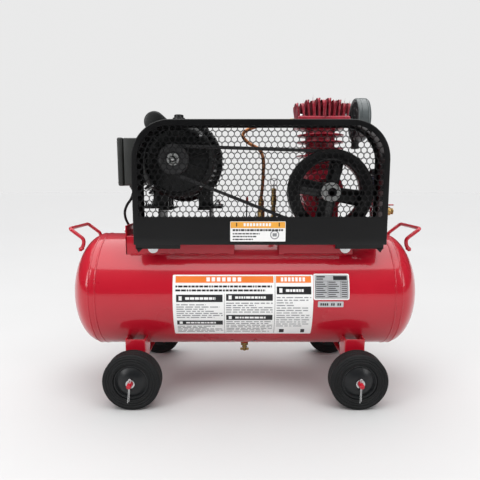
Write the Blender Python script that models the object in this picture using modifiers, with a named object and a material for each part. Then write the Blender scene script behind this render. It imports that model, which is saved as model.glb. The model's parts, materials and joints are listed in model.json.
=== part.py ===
"""Belt-driven air compressor: a wheeled horizontal air tank that carries an electric motor,
a single-cylinder pump, a belt guard and the air fittings.

Metres, +Z up. The origin is on the ground under the middle of the tank. +X runs along the tank
and -Y is the side that the belt guard faces.
"""
import math

import bmesh
import bpy
from mathutils import Matrix, Vector

GAP = 0.0003                 # space kept between pieces that touch

TANK_RADIUS = 0.150
TANK_HEIGHT = 0.259          # tank axis above the ground
TANK_WALL = 0.003
TANK_HALF = 0.4543           # middle of the tank to the tip of a dished end
BARREL_HALF = 0.368
DISH_START = 0.377
TANK_STEPS = 40
PORT_RADIUS = 0.0095         # bore of a welded tank port
PORT_OUTER = 0.0140
PORT_RISE = 0.008
PORT_STEPS = 14
PORT_TWIST = math.radians(5)  # keeps a port's sides off the barrel's facets
DRAIN_FACE = TANK_HEIGHT - TANK_RADIUS - PORT_RISE

WHEEL_RADIUS = 0.070
WHEEL_HALF = 0.020
WHEEL_X = 0.2745
WHEEL_Y = 0.174
HUB_RADIUS = 0.0434
AXLE_RADIUS = 0.006
AXLE_HALF = 0.214
LEG_WIDTH = 0.050
LEG_FACE_Y = 0.140
LEG_SHEET = 0.003

BASE_TOP = 0.4145            # top face of both base plates
BASE_SHEET = 0.003
BASE_HALF_Y = 0.104
BASE_FOOT = 0.372            # lowest edge of a base plate's side flange
MOTOR_BASE_X = (-0.299, -0.027)
PUMP_BASE_X = (0.085, 0.270)
UPRIGHT_TOP = 0.440

MOTOR_X = -0.176
MOTOR_Z = 0.603
MOTOR_BODY_RADIUS = 0.098
MOTOR_FIN_RADIUS = 0.116
MOTOR_BORE_RADIUS = 0.090
MOTOR_FRONT = -0.030         # front face of the finned body
MOTOR_BACK = 0.126
MOTOR_FOOT_Z = 0.478
MOTOR_BOSS_TOP = 0.726       # lifting boss on top of the motor
SHAFT_RADIUS = 0.0095

PUMP_X = 0.210
PUMP_Y = 0.050               # cylinder axis
CRANK_Z = 0.523
CRANK_THROW = 0.017
ROD_LENGTH = 0.140
CRANKCASE_TOP = 0.600
CYLINDER_TOP = 0.6960
CYLINDER_BORE = 0.0325
HEAD_LOW = CYLINDER_TOP + GAP
HEAD_TOP = 0.7700
HEAD_HALF = 0.070
CYLINDER_FINS = 5
CYLINDER_FIN_PITCH = 0.0185
HEAD_FINS = 9
FLYWHEEL_RADIUS = 0.1046
SPOKE_COUNT = 4
SPOKE_START = 10.0           # degrees from +X to the first spoke, towards -Z
BELT_Y = -0.095              # middle plane of the belt
BELT_HALF = 0.0055
BELT_THICKNESS = 0.008
BELT_ON_FLYWHEEL = 0.1036    # outer radius of the belt round the flywheel
BELT_ON_PULLEY = 0.0365      # outer radius of the belt round the motor pulley

GUARD_X = (-0.268, 0.339)
GUARD_Z = (0.3985, 0.692)
GUARD_Y = (-0.150, -0.060)
GUARD_CORNER = 0.092
GUARD_SHEET = 0.0016
GUARD_LIP = 0.014
GUARD_BAND_TOP = 0.465

HANDLE_RADIUS = 0.0047
HANDLE_GRIP_X = 0.452
HANDLE_GRIP_Y = 0.067
HANDLE_GRIP_Z = 0.4288

CHECK_VALVE_AT = (0.047, 0.050)
SAFETY_VALVE_AT = (0.075, -0.045)
SWITCH_AT = (0.006, 0.085)
RISER_AT = (0.348, -0.015)

RED = ("tank_red", (0.48, 0.012, 0.030), 0.25, 0.0)
PUMP_RED = ("pump_red", (0.26, 0.020, 0.040), 0.45, 0.2)
BLACK = ("black_paint", (0.012, 0.012, 0.014), 0.40, 0.0)
RUBBER = ("rubber", (0.020, 0.020, 0.022), 0.80, 0.0)
PLASTIC = ("black_plastic", (0.015, 0.016, 0.017), 0.45, 0.0)
GREY = ("grey_paint", (0.045, 0.048, 0.050), 0.50, 0.0)
STEEL = ("bright_steel", (0.55, 0.55, 0.56), 0.30, 1.0)
IRON = ("cast_iron", (0.10, 0.10, 0.105), 0.60, 0.6)
ALLOY = ("aluminium", (0.62, 0.63, 0.64), 0.40, 1.0)
BRASS = ("brass", (0.55, 0.38, 0.14), 0.35, 1.0)
COPPER = ("copper", (0.60, 0.26, 0.14), 0.35, 1.0)
RED_PLASTIC = ("red_plastic", (0.55, 0.02, 0.02), 0.40, 0.0)

PARTS = "air_compressor"
CUTTERS = "cutters"
TURNS = {
    "Z": (0.0, 0.0, 0.0),
    "-Z": (math.pi, 0.0, 0.0),
    "Y": (-math.pi / 2, 0.0, 0.0),
    "-Y": (math.pi / 2, 0.0, 0.0),
    "X": (0.0, math.pi / 2, 0.0),
    "-X": (0.0, -math.pi / 2, 0.0),
}


def clear_scene():
    for item in list(bpy.data.objects):
        bpy.data.objects.remove(item, do_unlink=True)
    for name in (PARTS, CUTTERS):
        group = bpy.data.collections.get(name)
        if group:
            bpy.data.collections.remove(group)
        group = bpy.data.collections.new(name)
        bpy.context.scene.collection.children.link(group)


def paint(item, finish):
    """Give an object its finish: a name, a colour, a roughness and a metallic value."""
    name, colour, roughness, metallic = finish
    material = bpy.data.materials.get(name)
    if material is None:
        material = bpy.data.materials.new(name)
        material.use_nodes = True
        shader = material.node_tree.nodes["Principled BSDF"]
        shader.inputs["Base Color"].default_value = (*colour, 1.0)
        shader.inputs["Roughness"].default_value = roughness
        shader.inputs["Metallic"].default_value = metallic
        material.diffuse_color = (*colour, 1.0)
    item.data.materials.clear()
    item.data.materials.append(material)


def place(name, data, finish, location=(0.0, 0.0, 0.0), turn="Z"):
    """Link new data as a named object with its finish, its place and the way its axis points."""
    item = bpy.data.objects.new(name, data)
    item.location = location
    item.rotation_euler = TURNS[turn]
    bpy.data.collections[PARTS].objects.link(item)
    paint(item, finish)
    return item


def turned(name, finish, profile, centre, turn="Z", steps=32, ring=False):
    """Spin a profile of (radius, height) points, listed from the top down, about the turn axis.

    A ring's profile goes down the outside and comes back up the bore.
    """
    mesh = bpy.data.meshes.new(name)
    form = bmesh.new()
    corners = [form.verts.new((radius, 0.0, height)) for radius, height in profile]
    for first, second in zip(corners, corners[1:]):
        form.edges.new((first, second))
    if ring:
        form.edges.new((corners[-1], corners[0]))
    form.to_mesh(mesh)
    form.free()
    item = place(name, mesh, finish, centre, turn)
    screw = item.modifiers.new("turn", "SCREW")
    screw.steps = steps
    screw.render_steps = steps
    screw.use_merge_vertices = True
    screw.merge_threshold = 0.00001
    screw.use_smooth_shade = True
    return item


def rounded_disc(radius, low, high, edge=0.0):
    """Profile of a solid disc or shaft from its top centre to its bottom centre."""
    if edge <= 0.0:
        return [(0.0, high), (radius, high), (radius, low), (0.0, low)]
    return [(0.0, high), (radius - edge, high), (radius, high - edge),
            (radius, low + edge), (radius - edge, low), (0.0, low)]


def bushing(outer, inner, low, high):
    return [(outer, high), (outer, low), (inner, low), (inner, high)]


def cylinder(name, finish, radius, centre, low, high, turn="Z", steps=24, edge=0.0):
    return turned(name, finish, rounded_disc(radius, low, high, edge), centre, turn, steps)


def block(name, finish, low, high, edge=0.0):
    """A box between two corners, with its origin at its middle."""
    low = Vector(low)
    high = Vector(high)
    form = bmesh.new()
    bmesh.ops.create_cube(form, size=1.0)
    bmesh.ops.scale(form, vec=high - low, verts=form.verts)
    mesh = bpy.data.meshes.new(name)
    form.to_mesh(mesh)
    form.free()
    item = place(name, mesh, finish, (low + high) / 2)
    if edge > 0.0:
        bevel = item.modifiers.new("edge", "BEVEL")
        bevel.width = edge
        bevel.segments = 1
        bevel.limit_method = "ANGLE"
    return item


def welded(mesh):
    """Merge a mesh's doubled points, and shade it smooth up to its sharp edges."""
    form = bmesh.new()
    form.from_mesh(mesh)
    bmesh.ops.remove_doubles(form, verts=form.verts, dist=0.00001)
    bmesh.ops.dissolve_degenerate(form, edges=form.edges, dist=0.000001)
    form.to_mesh(mesh)
    form.free()
    mesh.shade_smooth()
    mesh.set_sharp_from_angle(angle=math.radians(35))
    return mesh


def as_mesh(item):
    """Swap a curve object for a mesh object of the same shape and place, with its caps welded."""
    bpy.context.view_layer.update()
    seen = item.evaluated_get(bpy.context.evaluated_depsgraph_get())
    mesh = welded(bpy.data.meshes.new_from_object(seen))
    name = item.name
    where = item.matrix_world.copy()
    curve = item.data
    finish = curve.materials[0]
    bpy.data.objects.remove(item, do_unlink=True)
    bpy.data.curves.remove(curve)
    solid = bpy.data.objects.new(name, mesh)
    solid.matrix_world = where
    mesh.materials.clear()
    mesh.materials.append(finish)
    bpy.data.collections[PARTS].objects.link(solid)
    return solid


def prism(name, finish, outlines, low, high, turn="Z"):
    """A flat outline (the first loop, less any further loops) thickened from low to high.

    turn "Z" draws the outline in X and Y, "-Y" in X and Z with the thickness along Y, and
    "X" in Y and Z with the thickness along X.
    """
    curve = bpy.data.curves.new(name, "CURVE")
    curve.dimensions = "2D"
    curve.fill_mode = "BOTH"
    curve.extrude = (high - low) / 2
    for outline in outlines:
        spline = curve.splines.new("POLY")
        spline.points.add(len(outline) - 1)
        for point, (across, up) in zip(spline.points, outline):
            point.co = (across, up, 0.0, 1.0)
        spline.use_cyclic_u = True
    middle = (low + high) / 2
    item = place(name, curve, finish)
    if turn == "Z":
        item.location = (0.0, 0.0, middle)
    elif turn == "-Y":
        item.rotation_euler = (math.pi / 2, 0.0, 0.0)
        item.location = (0.0, middle, 0.0)
    else:
        item.rotation_euler = (math.pi / 2, 0.0, math.pi / 2)
        item.location = (middle, 0.0, 0.0)
    return as_mesh(item)


def rod(name, finish, points, radius, roundness=2):
    """A round bar, tube or cord along a line of points."""
    curve = bpy.data.curves.new(name, "CURVE")
    curve.dimensions = "3D"
    curve.bevel_depth = radius
    curve.bevel_resolution = roundness
    curve.use_fill_caps = True
    spline = curve.splines.new("POLY")
    spline.points.add(len(points) - 1)
    for point, place_at in zip(spline.points, points):
        point.co = (*place_at, 1.0)
    return place(name, curve, finish)


def smooth_route(points, per_span):
    """Read points from a smooth curve through the route's own points."""
    ends = [Vector(points[0]) * 2 - Vector(points[1])]
    ends += [Vector(point) for point in points]
    ends.append(Vector(points[-1]) * 2 - Vector(points[-2]))
    route = []
    for a, b, c, d in zip(ends, ends[1:], ends[2:], ends[3:]):
        for step in range(per_span):
            t = step / per_span
            pull = 2 * b + (c - a) * t + (2 * a - 5 * b + 4 * c - d) * t * t
            route.append((pull + (3 * b - a - 3 * c + d) * t * t * t) / 2)
    route.append(ends[-2])
    return route


def fillet_route(points, radius, steps=4):
    """Round each inner corner of a run of straight rods with an arc-like curve."""
    spots = [Vector(point) for point in points]
    route = [spots[0]]
    for before, corner, after in zip(spots, spots[1:], spots[2:]):
        start = corner + (before - corner).normalized() * radius
        finish = corner + (after - corner).normalized() * radius
        for step in range(steps + 1):
            t = step / steps
            route.append(start * (1 - t) ** 2 + corner * 2 * t * (1 - t) + finish * t * t)
    route.append(spots[-1])
    return route


def tool(item):
    """Put a cutter or a joined-in shape out of sight, in the cutters' collection."""
    for group in list(item.users_collection):
        group.objects.unlink(item)
    bpy.data.collections[CUTTERS].objects.link(item)
    item.hide_render = True
    item.display_type = "WIRE"
    return item


def settle(item):
    """Replace an object's modifiers by the welded mesh that they make."""
    bpy.context.view_layer.update()
    seen = item.evaluated_get(bpy.context.evaluated_depsgraph_get())
    item.data = welded(bpy.data.meshes.new_from_object(seen))
    item.modifiers.clear()


def combine(item, others, operation):
    """Join or cut shapes one at a time, welding the result each time."""
    for other in others:
        boolean = item.modifiers.new(operation.lower(), "BOOLEAN")
        boolean.operation = operation
        boolean.solver = "EXACT"
        boolean.object = tool(other)
        settle(item)
    return item


def cut(item, *others):
    return combine(item, others, "DIFFERENCE")


def fuse(item, *others):
    return combine(item, others, "UNION")


def hang(name, location, *items):
    """Parent moving pieces to an empty on their joint's axis."""
    pivot = bpy.data.objects.new(name, None)
    pivot.location = location
    pivot.empty_display_size = 0.02
    bpy.data.collections[PARTS].objects.link(pivot)
    for item in items:
        item.parent = pivot
        item.matrix_parent_inverse = Matrix.Translation(-Vector(location))


def tank_top(y):
    """Height of the tank's upper surface at a distance y from its middle plane."""
    return TANK_HEIGHT + math.sqrt(TANK_RADIUS ** 2 - y ** 2)


def tank_space(name, extra=GAP):
    """A cutter a little larger than the tank's barrel."""
    profile = rounded_disc(TANK_RADIUS + extra, -0.5, 0.5)
    return turned(name, RED, profile, (0.0, 0.0, TANK_HEIGHT), "X", TANK_STEPS)


def arc(centre, radius, start, end, steps):
    """Points along an arc, in degrees."""
    points = []
    for step in range(steps + 1):
        angle = math.radians(start + (end - start) * step / steps)
        points.append((centre[0] + radius * math.cos(angle), centre[1] + radius * math.sin(angle)))
    return points


# ---------------------------------------------------------------- tank and running gear

def make_tank():
    wall = bushing(TANK_RADIUS, TANK_RADIUS - TANK_WALL, -BARREL_HALF, BARREL_HALF)
    barrel = turned("tank_barrel", RED, wall, (0.0, 0.0, TANK_HEIGHT), "X", TANK_STEPS, ring=True)
    ports = [(spot, tank_top(spot[1]) + PORT_RISE - 0.022, tank_top(spot[1]) + PORT_RISE)
             for spot in (CHECK_VALVE_AT, SAFETY_VALVE_AT, SWITCH_AT, RISER_AT)]
    ports.append(((0.0, 0.0), DRAIN_FACE, DRAIN_FACE + 0.014))
    for index, ((x, y), low, high) in enumerate(ports):
        port = cylinder("port_%d" % index, RED, PORT_OUTER, (x, y, 0.0), low, high, steps=PORT_STEPS)
        port.rotation_euler.z = PORT_TWIST
        fuse(barrel, port)
    for index, ((x, y), low, high) in enumerate(ports):
        bore = cylinder("bore_%d" % index, RED, PORT_RADIUS, (x, y, 0.0), low - 0.02, high + 0.02,
                        steps=PORT_STEPS)
        bore.rotation_euler.z = PORT_TWIST
        cut(barrel, bore)
    dish_depth = TANK_HALF - DISH_START
    outside = []
    inside = []
    for step in range(7):
        angle = math.radians(90 - step * 15)
        rise = math.sin(angle)
        reach = math.cos(angle)
        outside.append((TANK_RADIUS * reach, DISH_START + dish_depth * rise))
        inside.append(((TANK_RADIUS - TANK_WALL) * reach, DISH_START + (dish_depth - TANK_WALL) * rise))
    outside[0] = (0.0, outside[0][1])
    inside[0] = (0.0, inside[0][1])
    rim = BARREL_HALF + GAP
    profile = outside + [(TANK_RADIUS, rim), (TANK_RADIUS - TANK_WALL, rim)] + inside[::-1]
    for side, turn in (("left", "-X"), ("right", "X")):
        turned("tank_head_" + side, RED, profile, (0.0, 0.0, TANK_HEIGHT), turn, 28)


def make_handle(side, sign):
    """Bent-rod lifting handle, its two feet resting on the dished end."""
    top = Vector((HANDLE_GRIP_X * sign, HANDLE_GRIP_Y, HANDLE_GRIP_Z))
    bend = Vector((0.4165 * sign, HANDLE_GRIP_Y, 0.4010))
    foot = Vector((0.4195 * sign, HANDLE_GRIP_Y, 0.3805))
    stub = Vector((0.4285 * sign, HANDLE_GRIP_Y, 0.3745))
    half = [stub, foot, bend, top]
    other = [Vector((spot.x, -spot.y, spot.z)) for spot in reversed(half)]
    route = fillet_route(half + other, 0.006, 3)
    rod("handle_" + side, RED, route, HANDLE_RADIUS)


def make_leg(name, x, sign):
    """Folded-sheet leg: a front plate and two side flanges that are welded to the tank."""
    face = LEG_FACE_Y
    foot = 0.050
    top = 0.158
    outline = [(-face, foot), (-face + 0.020, foot), (-0.074, 0.140), (-0.074, top), (-face, top)]
    if sign > 0:
        outline = [(-across, up) for across, up in outline]
    half = LEG_WIDTH / 2
    leg = prism(name, RED, [outline], x - half, x + half, "X")
    near = face - LEG_SHEET
    room = sorted((-near * -sign, 0.02 * sign))
    inner = half - LEG_SHEET
    cut(leg, block(name + "_room", RED, (x - inner, room[0], 0.0), (x + inner, room[1], 0.3)))
    cut(leg, tank_space(name + "_seat"))
    cut(leg, cylinder(name + "_hole", RED, AXLE_RADIUS + 0.0005, (x, 0.0, WHEEL_RADIUS),
                      -0.2, 0.2, "Y", 16))


def make_wheel(label, x, sign):
    """Solid rubber tyre on a dished plastic hub; the hub's dome faces away from the tank."""
    turn = "Y" if sign > 0 else "-Y"
    centre = (x, WHEEL_Y * sign, WHEEL_RADIUS)
    shoulder = 0.006
    tyre_profile = [
        (WHEEL_RADIUS - shoulder, WHEEL_HALF), (WHEEL_RADIUS, WHEEL_HALF - shoulder),
        (WHEEL_RADIUS, -WHEEL_HALF + shoulder), (WHEEL_RADIUS - shoulder, -WHEEL_HALF),
        (HUB_RADIUS + GAP, -WHEEL_HALF), (HUB_RADIUS + GAP, WHEEL_HALF)]
    tyre = turned("tyre_" + label, RUBBER, tyre_profile, centre, turn, 20, ring=True)
    bore = AXLE_RADIUS + 0.0003
    hub_profile = [
        (bore, 0.0235), (0.017, 0.0225), (0.033, 0.0180), (HUB_RADIUS, 0.0130),
        (HUB_RADIUS, -0.0160), (0.018, -0.0160), (bore, -0.0180)]
    hub = turned("hub_" + label, PLASTIC, hub_profile, centre, turn, 20, ring=True)
    hang("wheel_pivot_" + label, centre, tyre, hub)


def make_running_gear():
    for side, along in (("left", -WHEEL_X), ("right", WHEEL_X)):
        cylinder("axle_" + side, RED, AXLE_RADIUS, (along, 0.0, WHEEL_RADIUS),
                 -AXLE_HALF, AXLE_HALF, "Y", 12, 0.0015)
        for end, sign in (("front", -1), ("rear", 1)):
            make_leg("leg_" + end + "_" + side, along, sign)
            make_wheel(end + "_" + side, along, sign)


def make_base(name, span, upright):
    """Folded base plate whose side flanges sit on the tank's shoulders."""
    low, high = span
    edge = BASE_HALF_Y
    outline = [(-edge, BASE_FOOT), (-edge, BASE_TOP), (edge, BASE_TOP), (edge, BASE_FOOT),
               (edge - BASE_SHEET, BASE_FOOT), (edge - BASE_SHEET, BASE_TOP - BASE_SHEET),
               (-edge + BASE_SHEET, BASE_TOP - BASE_SHEET), (-edge + BASE_SHEET, BASE_FOOT)]
    plate = prism(name, RED, [outline[::-1]], low, high, "X")
    if upright:
        fuse(plate, block(name + "_upright", RED, (low, -edge, BASE_FOOT),
                          (low + BASE_SHEET, edge, UPRIGHT_TOP)))
    cut(plate, tank_space(name + "_seat"))


# ---------------------------------------------------------------- motor

def make_risers():
    """Two channel rails that lift the motor's feet off the base plate."""
    for side, low, high in (("left", -0.2300, -0.1950), ("right", -0.1260, -0.0910)):
        channel = block("motor_riser_" + side, GREY, (low, -0.028, BASE_TOP + GAP),
                        (high, 0.100, MOTOR_FOOT_Z - GAP))
        cut(channel, block("riser_room_" + side, GREY, (low + 0.004, -0.05, BASE_TOP + 0.004),
                           (high - 0.004, 0.15, MOTOR_FOOT_Z - 0.004)))


def make_motor_housing():
    """Finned tube with two mounting feet."""
    centre = (MOTOR_X, 0.0, MOTOR_Z)
    shell = bushing(MOTOR_BODY_RADIUS, MOTOR_BORE_RADIUS, MOTOR_FRONT, MOTOR_BACK)
    housing = turned("motor_housing", BLACK, shell, centre, "Y", 32, ring=True)
    fin_count = 13
    for index in range(fin_count):
        angle = math.radians(-36 + index * 180 / (fin_count - 1))
        fin = block("motor_fin_%02d" % index, BLACK,
                    (MOTOR_BODY_RADIUS - 0.004, MOTOR_FRONT + 0.012, -0.0015),
                    (MOTOR_FIN_RADIUS, MOTOR_BACK - 0.008, 0.0015))
        swing = Matrix.Translation(Vector(centre)) @ Matrix.Rotation(-angle, 4, "Y")
        fin.matrix_world = swing @ Matrix.Translation(fin.location)
        fuse(housing, fin)
    for side, low, high in (("left", -0.281, -0.2060), ("right", -0.1240, -0.0610)):
        web_low = low + 0.035 if side == "left" else low
        web_high = high if side == "left" else high - 0.030
        fuse(housing, block("motor_foot_" + side, BLACK, (low, -0.022, MOTOR_FOOT_Z),
                            (high, 0.095, MOTOR_FOOT_Z + 0.007)))
        fuse(housing, block("motor_leg_" + side, BLACK, (web_low, -0.010, MOTOR_FOOT_Z + 0.003),
                            (web_high, 0.085, MOTOR_Z - 0.050)))
    fuse(housing, cylinder("motor_boss", BLACK, 0.0125, (MOTOR_X, 0.010, 0.0), MOTOR_Z + 0.094,
                           MOTOR_BOSS_TOP, "Z", 16, 0.002))
    cut(housing, cylinder("motor_bore", BLACK, MOTOR_BORE_RADIUS, centre, -0.2, 0.2, "Y", 32))


def make_motor():
    centre = (MOTOR_X, 0.0, MOTOR_Z)
    make_motor_housing()
    bearing_bore = SHAFT_RADIUS + GAP
    front = MOTOR_FRONT - GAP
    shield = [(0.097, front), (0.097, front - 0.012), (0.084, front - 0.018), (0.080, front - 0.014),
              (0.045, front - 0.018), (0.030, front - 0.026), (bearing_bore, front - 0.026),
              (bearing_bore, front - 0.008), (0.070, front - 0.004), (0.080, front)]
    turned("motor_front_shield", BLACK, shield, centre, "Y", 28, ring=True)
    back = MOTOR_BACK + GAP
    shield = bushing(0.097, bearing_bore, back, back + 0.016)
    turned("motor_rear_shield", BLACK, shield, centre, "Y", 20, ring=True)
    cowl = [(0.012, back + 0.060), (0.080, back + 0.060), (0.098, back + 0.046), (0.098, back + 0.0163),
            (0.095, back + 0.0163), (0.095, back + 0.045), (0.079, back + 0.057), (0.012, back + 0.057)]
    turned("motor_fan_cowl", BLACK, cowl, centre, "Y", 24, ring=True)
    turned("stator_core", IRON, bushing(MOTOR_BORE_RADIUS - GAP, 0.052, -0.012, 0.100),
           centre, "Y", 32, ring=True)
    shaft = [(0.0, 0.165), (SHAFT_RADIUS, 0.165), (SHAFT_RADIUS, 0.102), (0.0510, 0.102),
             (0.0510, -0.014), (SHAFT_RADIUS, -0.014), (SHAFT_RADIUS, -0.112), (0.0, -0.112)]
    rotor = turned("motor_rotor", IRON, shaft, centre, "Y", 20)
    hub = bushing(0.020, SHAFT_RADIUS + GAP, 0.146, 0.162)
    fan = turned("motor_fan", PLASTIC, hub, centre, "Y", 20, ring=True)
    blade_count = 6
    for index in range(blade_count):
        blade = block("fan_blade_%d" % index, PLASTIC, (0.017, 0.147, -0.001), (0.072, 0.161, 0.001))
        angle = math.radians(15 + index * 360 / blade_count)
        swing = Matrix.Translation(Vector(centre)) @ Matrix.Rotation(angle, 4, "Y")
        blade.matrix_world = swing @ Matrix.Translation(blade.location)
        fuse(fan, blade)
    groove = BELT_ON_PULLEY - BELT_THICKNESS - GAP
    half = 0.0105
    rim = BELT_ON_PULLEY + 0.0012
    side = BELT_HALF + GAP
    wheel = [(rim, half), (rim, side), (groove, side), (groove, -side), (rim, -side), (rim, -half),
             (SHAFT_RADIUS + GAP, -half), (SHAFT_RADIUS + GAP, half)]
    pulley = turned("motor_pulley", IRON, wheel, (MOTOR_X, BELT_Y, MOTOR_Z), "Y", 20, ring=True)
    hang("motor_pivot", centre, rotor, fan, pulley)
    cover = [(0.0, 0.115), (0.022, 0.115), (0.0275, 0.108), (0.0275, -0.008), (0.022, -0.016),
             (0.0, -0.016)]
    can = turned("capacitor_cover", BLACK, cover, (-0.238, 0.0, 0.7055), "Y", 20)
    cut(can, turned("capacitor_seat", BLACK, rounded_disc(MOTOR_FIN_RADIUS + 0.002, -0.05, 0.16),
                    centre, "Y", 32))
    case = block("switch_box", GREY, (-0.3300, -0.042, 0.5380), (-0.2740, 0.040, 0.6620), 0.005)
    fuse(case, cylinder("switch_box_gland", PLASTIC, 0.0065, (-0.3020, 0.0, 0.0), 0.5278, 0.5400, "Z", 12))
    cut(case, turned("switch_box_seat", GREY, rounded_disc(MOTOR_BODY_RADIUS + GAP, -0.1, 0.1),
                     centre, "Y", 32))


# ---------------------------------------------------------------- pump

def make_crankcase():
    """Hollow round case with a pedestal, a front bearing nose and a flange for the cylinder."""
    centre = (PUMP_X, 0.0, CRANK_Z)
    case = cylinder("crankcase", PUMP_RED, 0.056, centre, -0.010, 0.112, "Y", 24)
    fuse(case, block("crankcase_pedestal", PUMP_RED, (PUMP_X - 0.046, 0.004, BASE_TOP + 0.008),
                     (PUMP_X + 0.046, 0.098, CRANK_Z)))
    fuse(case, block("crankcase_foot", PUMP_RED, (PUMP_X - 0.062, -0.014, BASE_TOP + GAP),
                     (PUMP_X + 0.056, 0.103, BASE_TOP + 0.012)))
    fuse(case, block("crankcase_neck", PUMP_RED, (PUMP_X - 0.041, 0.009, CRANK_Z),
                     (PUMP_X + 0.041, 0.091, CRANKCASE_TOP - 0.002)))
    fuse(case, block("crankcase_flange", PUMP_RED, (PUMP_X - 0.048, 0.002, CRANKCASE_TOP - 0.009),
                     (PUMP_X + 0.048, 0.098, CRANKCASE_TOP)))
    fuse(case, cylinder("crankcase_nose", PUMP_RED, 0.033, centre, -0.050, 0.002, "Y", 20))
    cut(case, cylinder("crankcase_room", PUMP_RED, 0.0455, centre, 0.000, 0.2, "Y", 24))
    cut(case, cylinder("crankcase_bearing_bore", PUMP_RED, 0.0260, centre, -0.2, 0.05, "Y", 20))
    cut(case, cylinder("crankcase_throat", PUMP_RED, CYLINDER_BORE + 0.001, (PUMP_X, PUMP_Y, CRANK_Z),
                       0.0, 0.2, "Z", 20))
    cover = [(0.0, 0.122), (0.034, 0.122), (0.040, 0.1185), (0.056, 0.1185), (0.056, 0.1123), (0.0, 0.1123)]
    turned("crankcase_cover", PUMP_RED, cover, centre, "Y", 24)
    turned("crank_bearing", STEEL, bushing(0.0257, 0.0128, -0.046, -0.004), centre, "Y", 20, ring=True)


def make_crank_train():
    """Crankshaft at top dead centre, with the rod and the piston above it."""
    centre = (PUMP_X, 0.0, CRANK_Z)
    shaft = cylinder("crankshaft", STEEL, 0.0125, centre, -0.128, 0.026, "Y", 20)
    fuse(shaft, block("crank_web", STEEL, (PUMP_X - 0.014, 0.020, CRANK_Z - 0.034),
                      (PUMP_X + 0.014, 0.032, CRANK_Z + 0.030)))
    fuse(shaft, cylinder("crank_pin", STEEL, 0.0095, (PUMP_X, 0.0, CRANK_Z + CRANK_THROW),
                         0.030, 0.068, "Y", 18))
    pin_z = CRANK_Z + CRANK_THROW
    top_z = pin_z + ROD_LENGTH
    link = turned("connecting_rod", ALLOY, bushing(0.0160, 0.0098, -0.011, 0.011),
                  (PUMP_X, PUMP_Y, pin_z), "Y", 18, ring=True)
    fuse(link, block("rod_shank", ALLOY, (PUMP_X - 0.0055, PUMP_Y - 0.005, pin_z + 0.0130),
                     (PUMP_X + 0.0055, PUMP_Y + 0.005, top_z - 0.004)))
    fuse(link, cylinder("rod_eye", ALLOY, 0.0085, (PUMP_X, PUMP_Y, top_z), -0.009, 0.009, "Y", 18))
    cup = [(0.0, 0.6930), (0.0320, 0.6930), (0.0320, 0.6500), (0.0290, 0.6500),
           (0.0290, 0.6895), (0.0, 0.6895)]
    turned("piston", ALLOY, cup, (PUMP_X, PUMP_Y, 0.0), "Z", 20)
    groove = BELT_ON_FLYWHEEL - BELT_THICKNESS - GAP
    half = 0.0165
    side = BELT_HALF + GAP
    rim = [(FLYWHEEL_RADIUS, half), (FLYWHEEL_RADIUS, side), (groove, side), (groove, -side),
           (FLYWHEEL_RADIUS, -side), (FLYWHEEL_RADIUS, -half), (0.0760, -half), (0.0760, half)]
    middle = (PUMP_X, BELT_Y, CRANK_Z)
    wheel = turned("flywheel", BLACK, rim, middle, "Y", 40, ring=True)
    boss = cylinder("flywheel_boss", BLACK, 0.0240, middle, -0.0160, 0.0240, "Y", 20)
    fuse(wheel, boss)
    for index in range(SPOKE_COUNT):
        spoke = block("spoke_%d" % index, BLACK, (0.018, -0.0035, -0.0190), (0.080, 0.0035, 0.0190))
        angle = math.radians(SPOKE_START + 360 * index / SPOKE_COUNT)
        swing = Matrix.Translation(Vector(middle)) @ Matrix.Rotation(angle, 4, "Y")
        pitch = Matrix.Rotation(math.radians(24), 4, "X")
        spoke.matrix_world = swing @ pitch @ Matrix.Translation(spoke.location)
        fuse(wheel, spoke)
    cut(wheel, cylinder("flywheel_bore", BLACK, 0.0128, middle, -0.05, 0.05, "Y", 20))
    hang("crank_pivot", centre, shaft, wheel)
    hang("big_end_pivot", (PUMP_X, PUMP_Y, pin_z), link)


def make_cylinder():
    """Finned cylinder."""
    low = CRANKCASE_TOP + GAP
    core = 0.0390
    tip = 0.0640
    thick = 0.0040
    taper = 0.0006
    profile = []
    for index in range(CYLINDER_FINS):
        top = CYLINDER_TOP - index * CYLINDER_FIN_PITCH
        if index > 0:
            profile.append((core, top + taper))
        profile += [(tip, top), (tip, top - thick), (core, top - thick - taper)]
    profile += [(core, low), (CYLINDER_BORE, low), (CYLINDER_BORE, CYLINDER_TOP)]
    turned("cylinder", PUMP_RED, profile, (PUMP_X, PUMP_Y, 0.0), "Z", 20, ring=True)


def make_cylinder_head():
    """Head with a fan of upright fins that lean outwards and shorten towards the sides."""
    half_depth = 0.054
    head = block("cylinder_head", PUMP_RED, (PUMP_X - HEAD_HALF, PUMP_Y - half_depth, HEAD_LOW),
                 (PUMP_X + HEAD_HALF, PUMP_Y + half_depth, HEAD_LOW + 0.026), 0.004)
    root = HEAD_LOW + 0.020
    root_half = 0.0022
    tip_half = 0.0030
    pitch = 0.0162
    last = (HEAD_FINS - 1) / 2
    for index in range(HEAD_FINS):
        share = (index - last) / last
        foot = PUMP_X + (index - last) * pitch
        tip = foot + (index - last) * pitch * 0.20
        reach = HEAD_TOP - 0.018 * share ** 2
        outline = [(foot - root_half, root), (foot + root_half, root), (tip + tip_half, reach - tip_half),
                   (tip, reach), (tip - tip_half, reach - tip_half)]
        depth = half_depth - 0.012 * share ** 2
        fuse(head, prism("head_fin_%d" % index, PUMP_RED, [outline], PUMP_Y - depth, PUMP_Y + depth, "-Y"))


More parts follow.
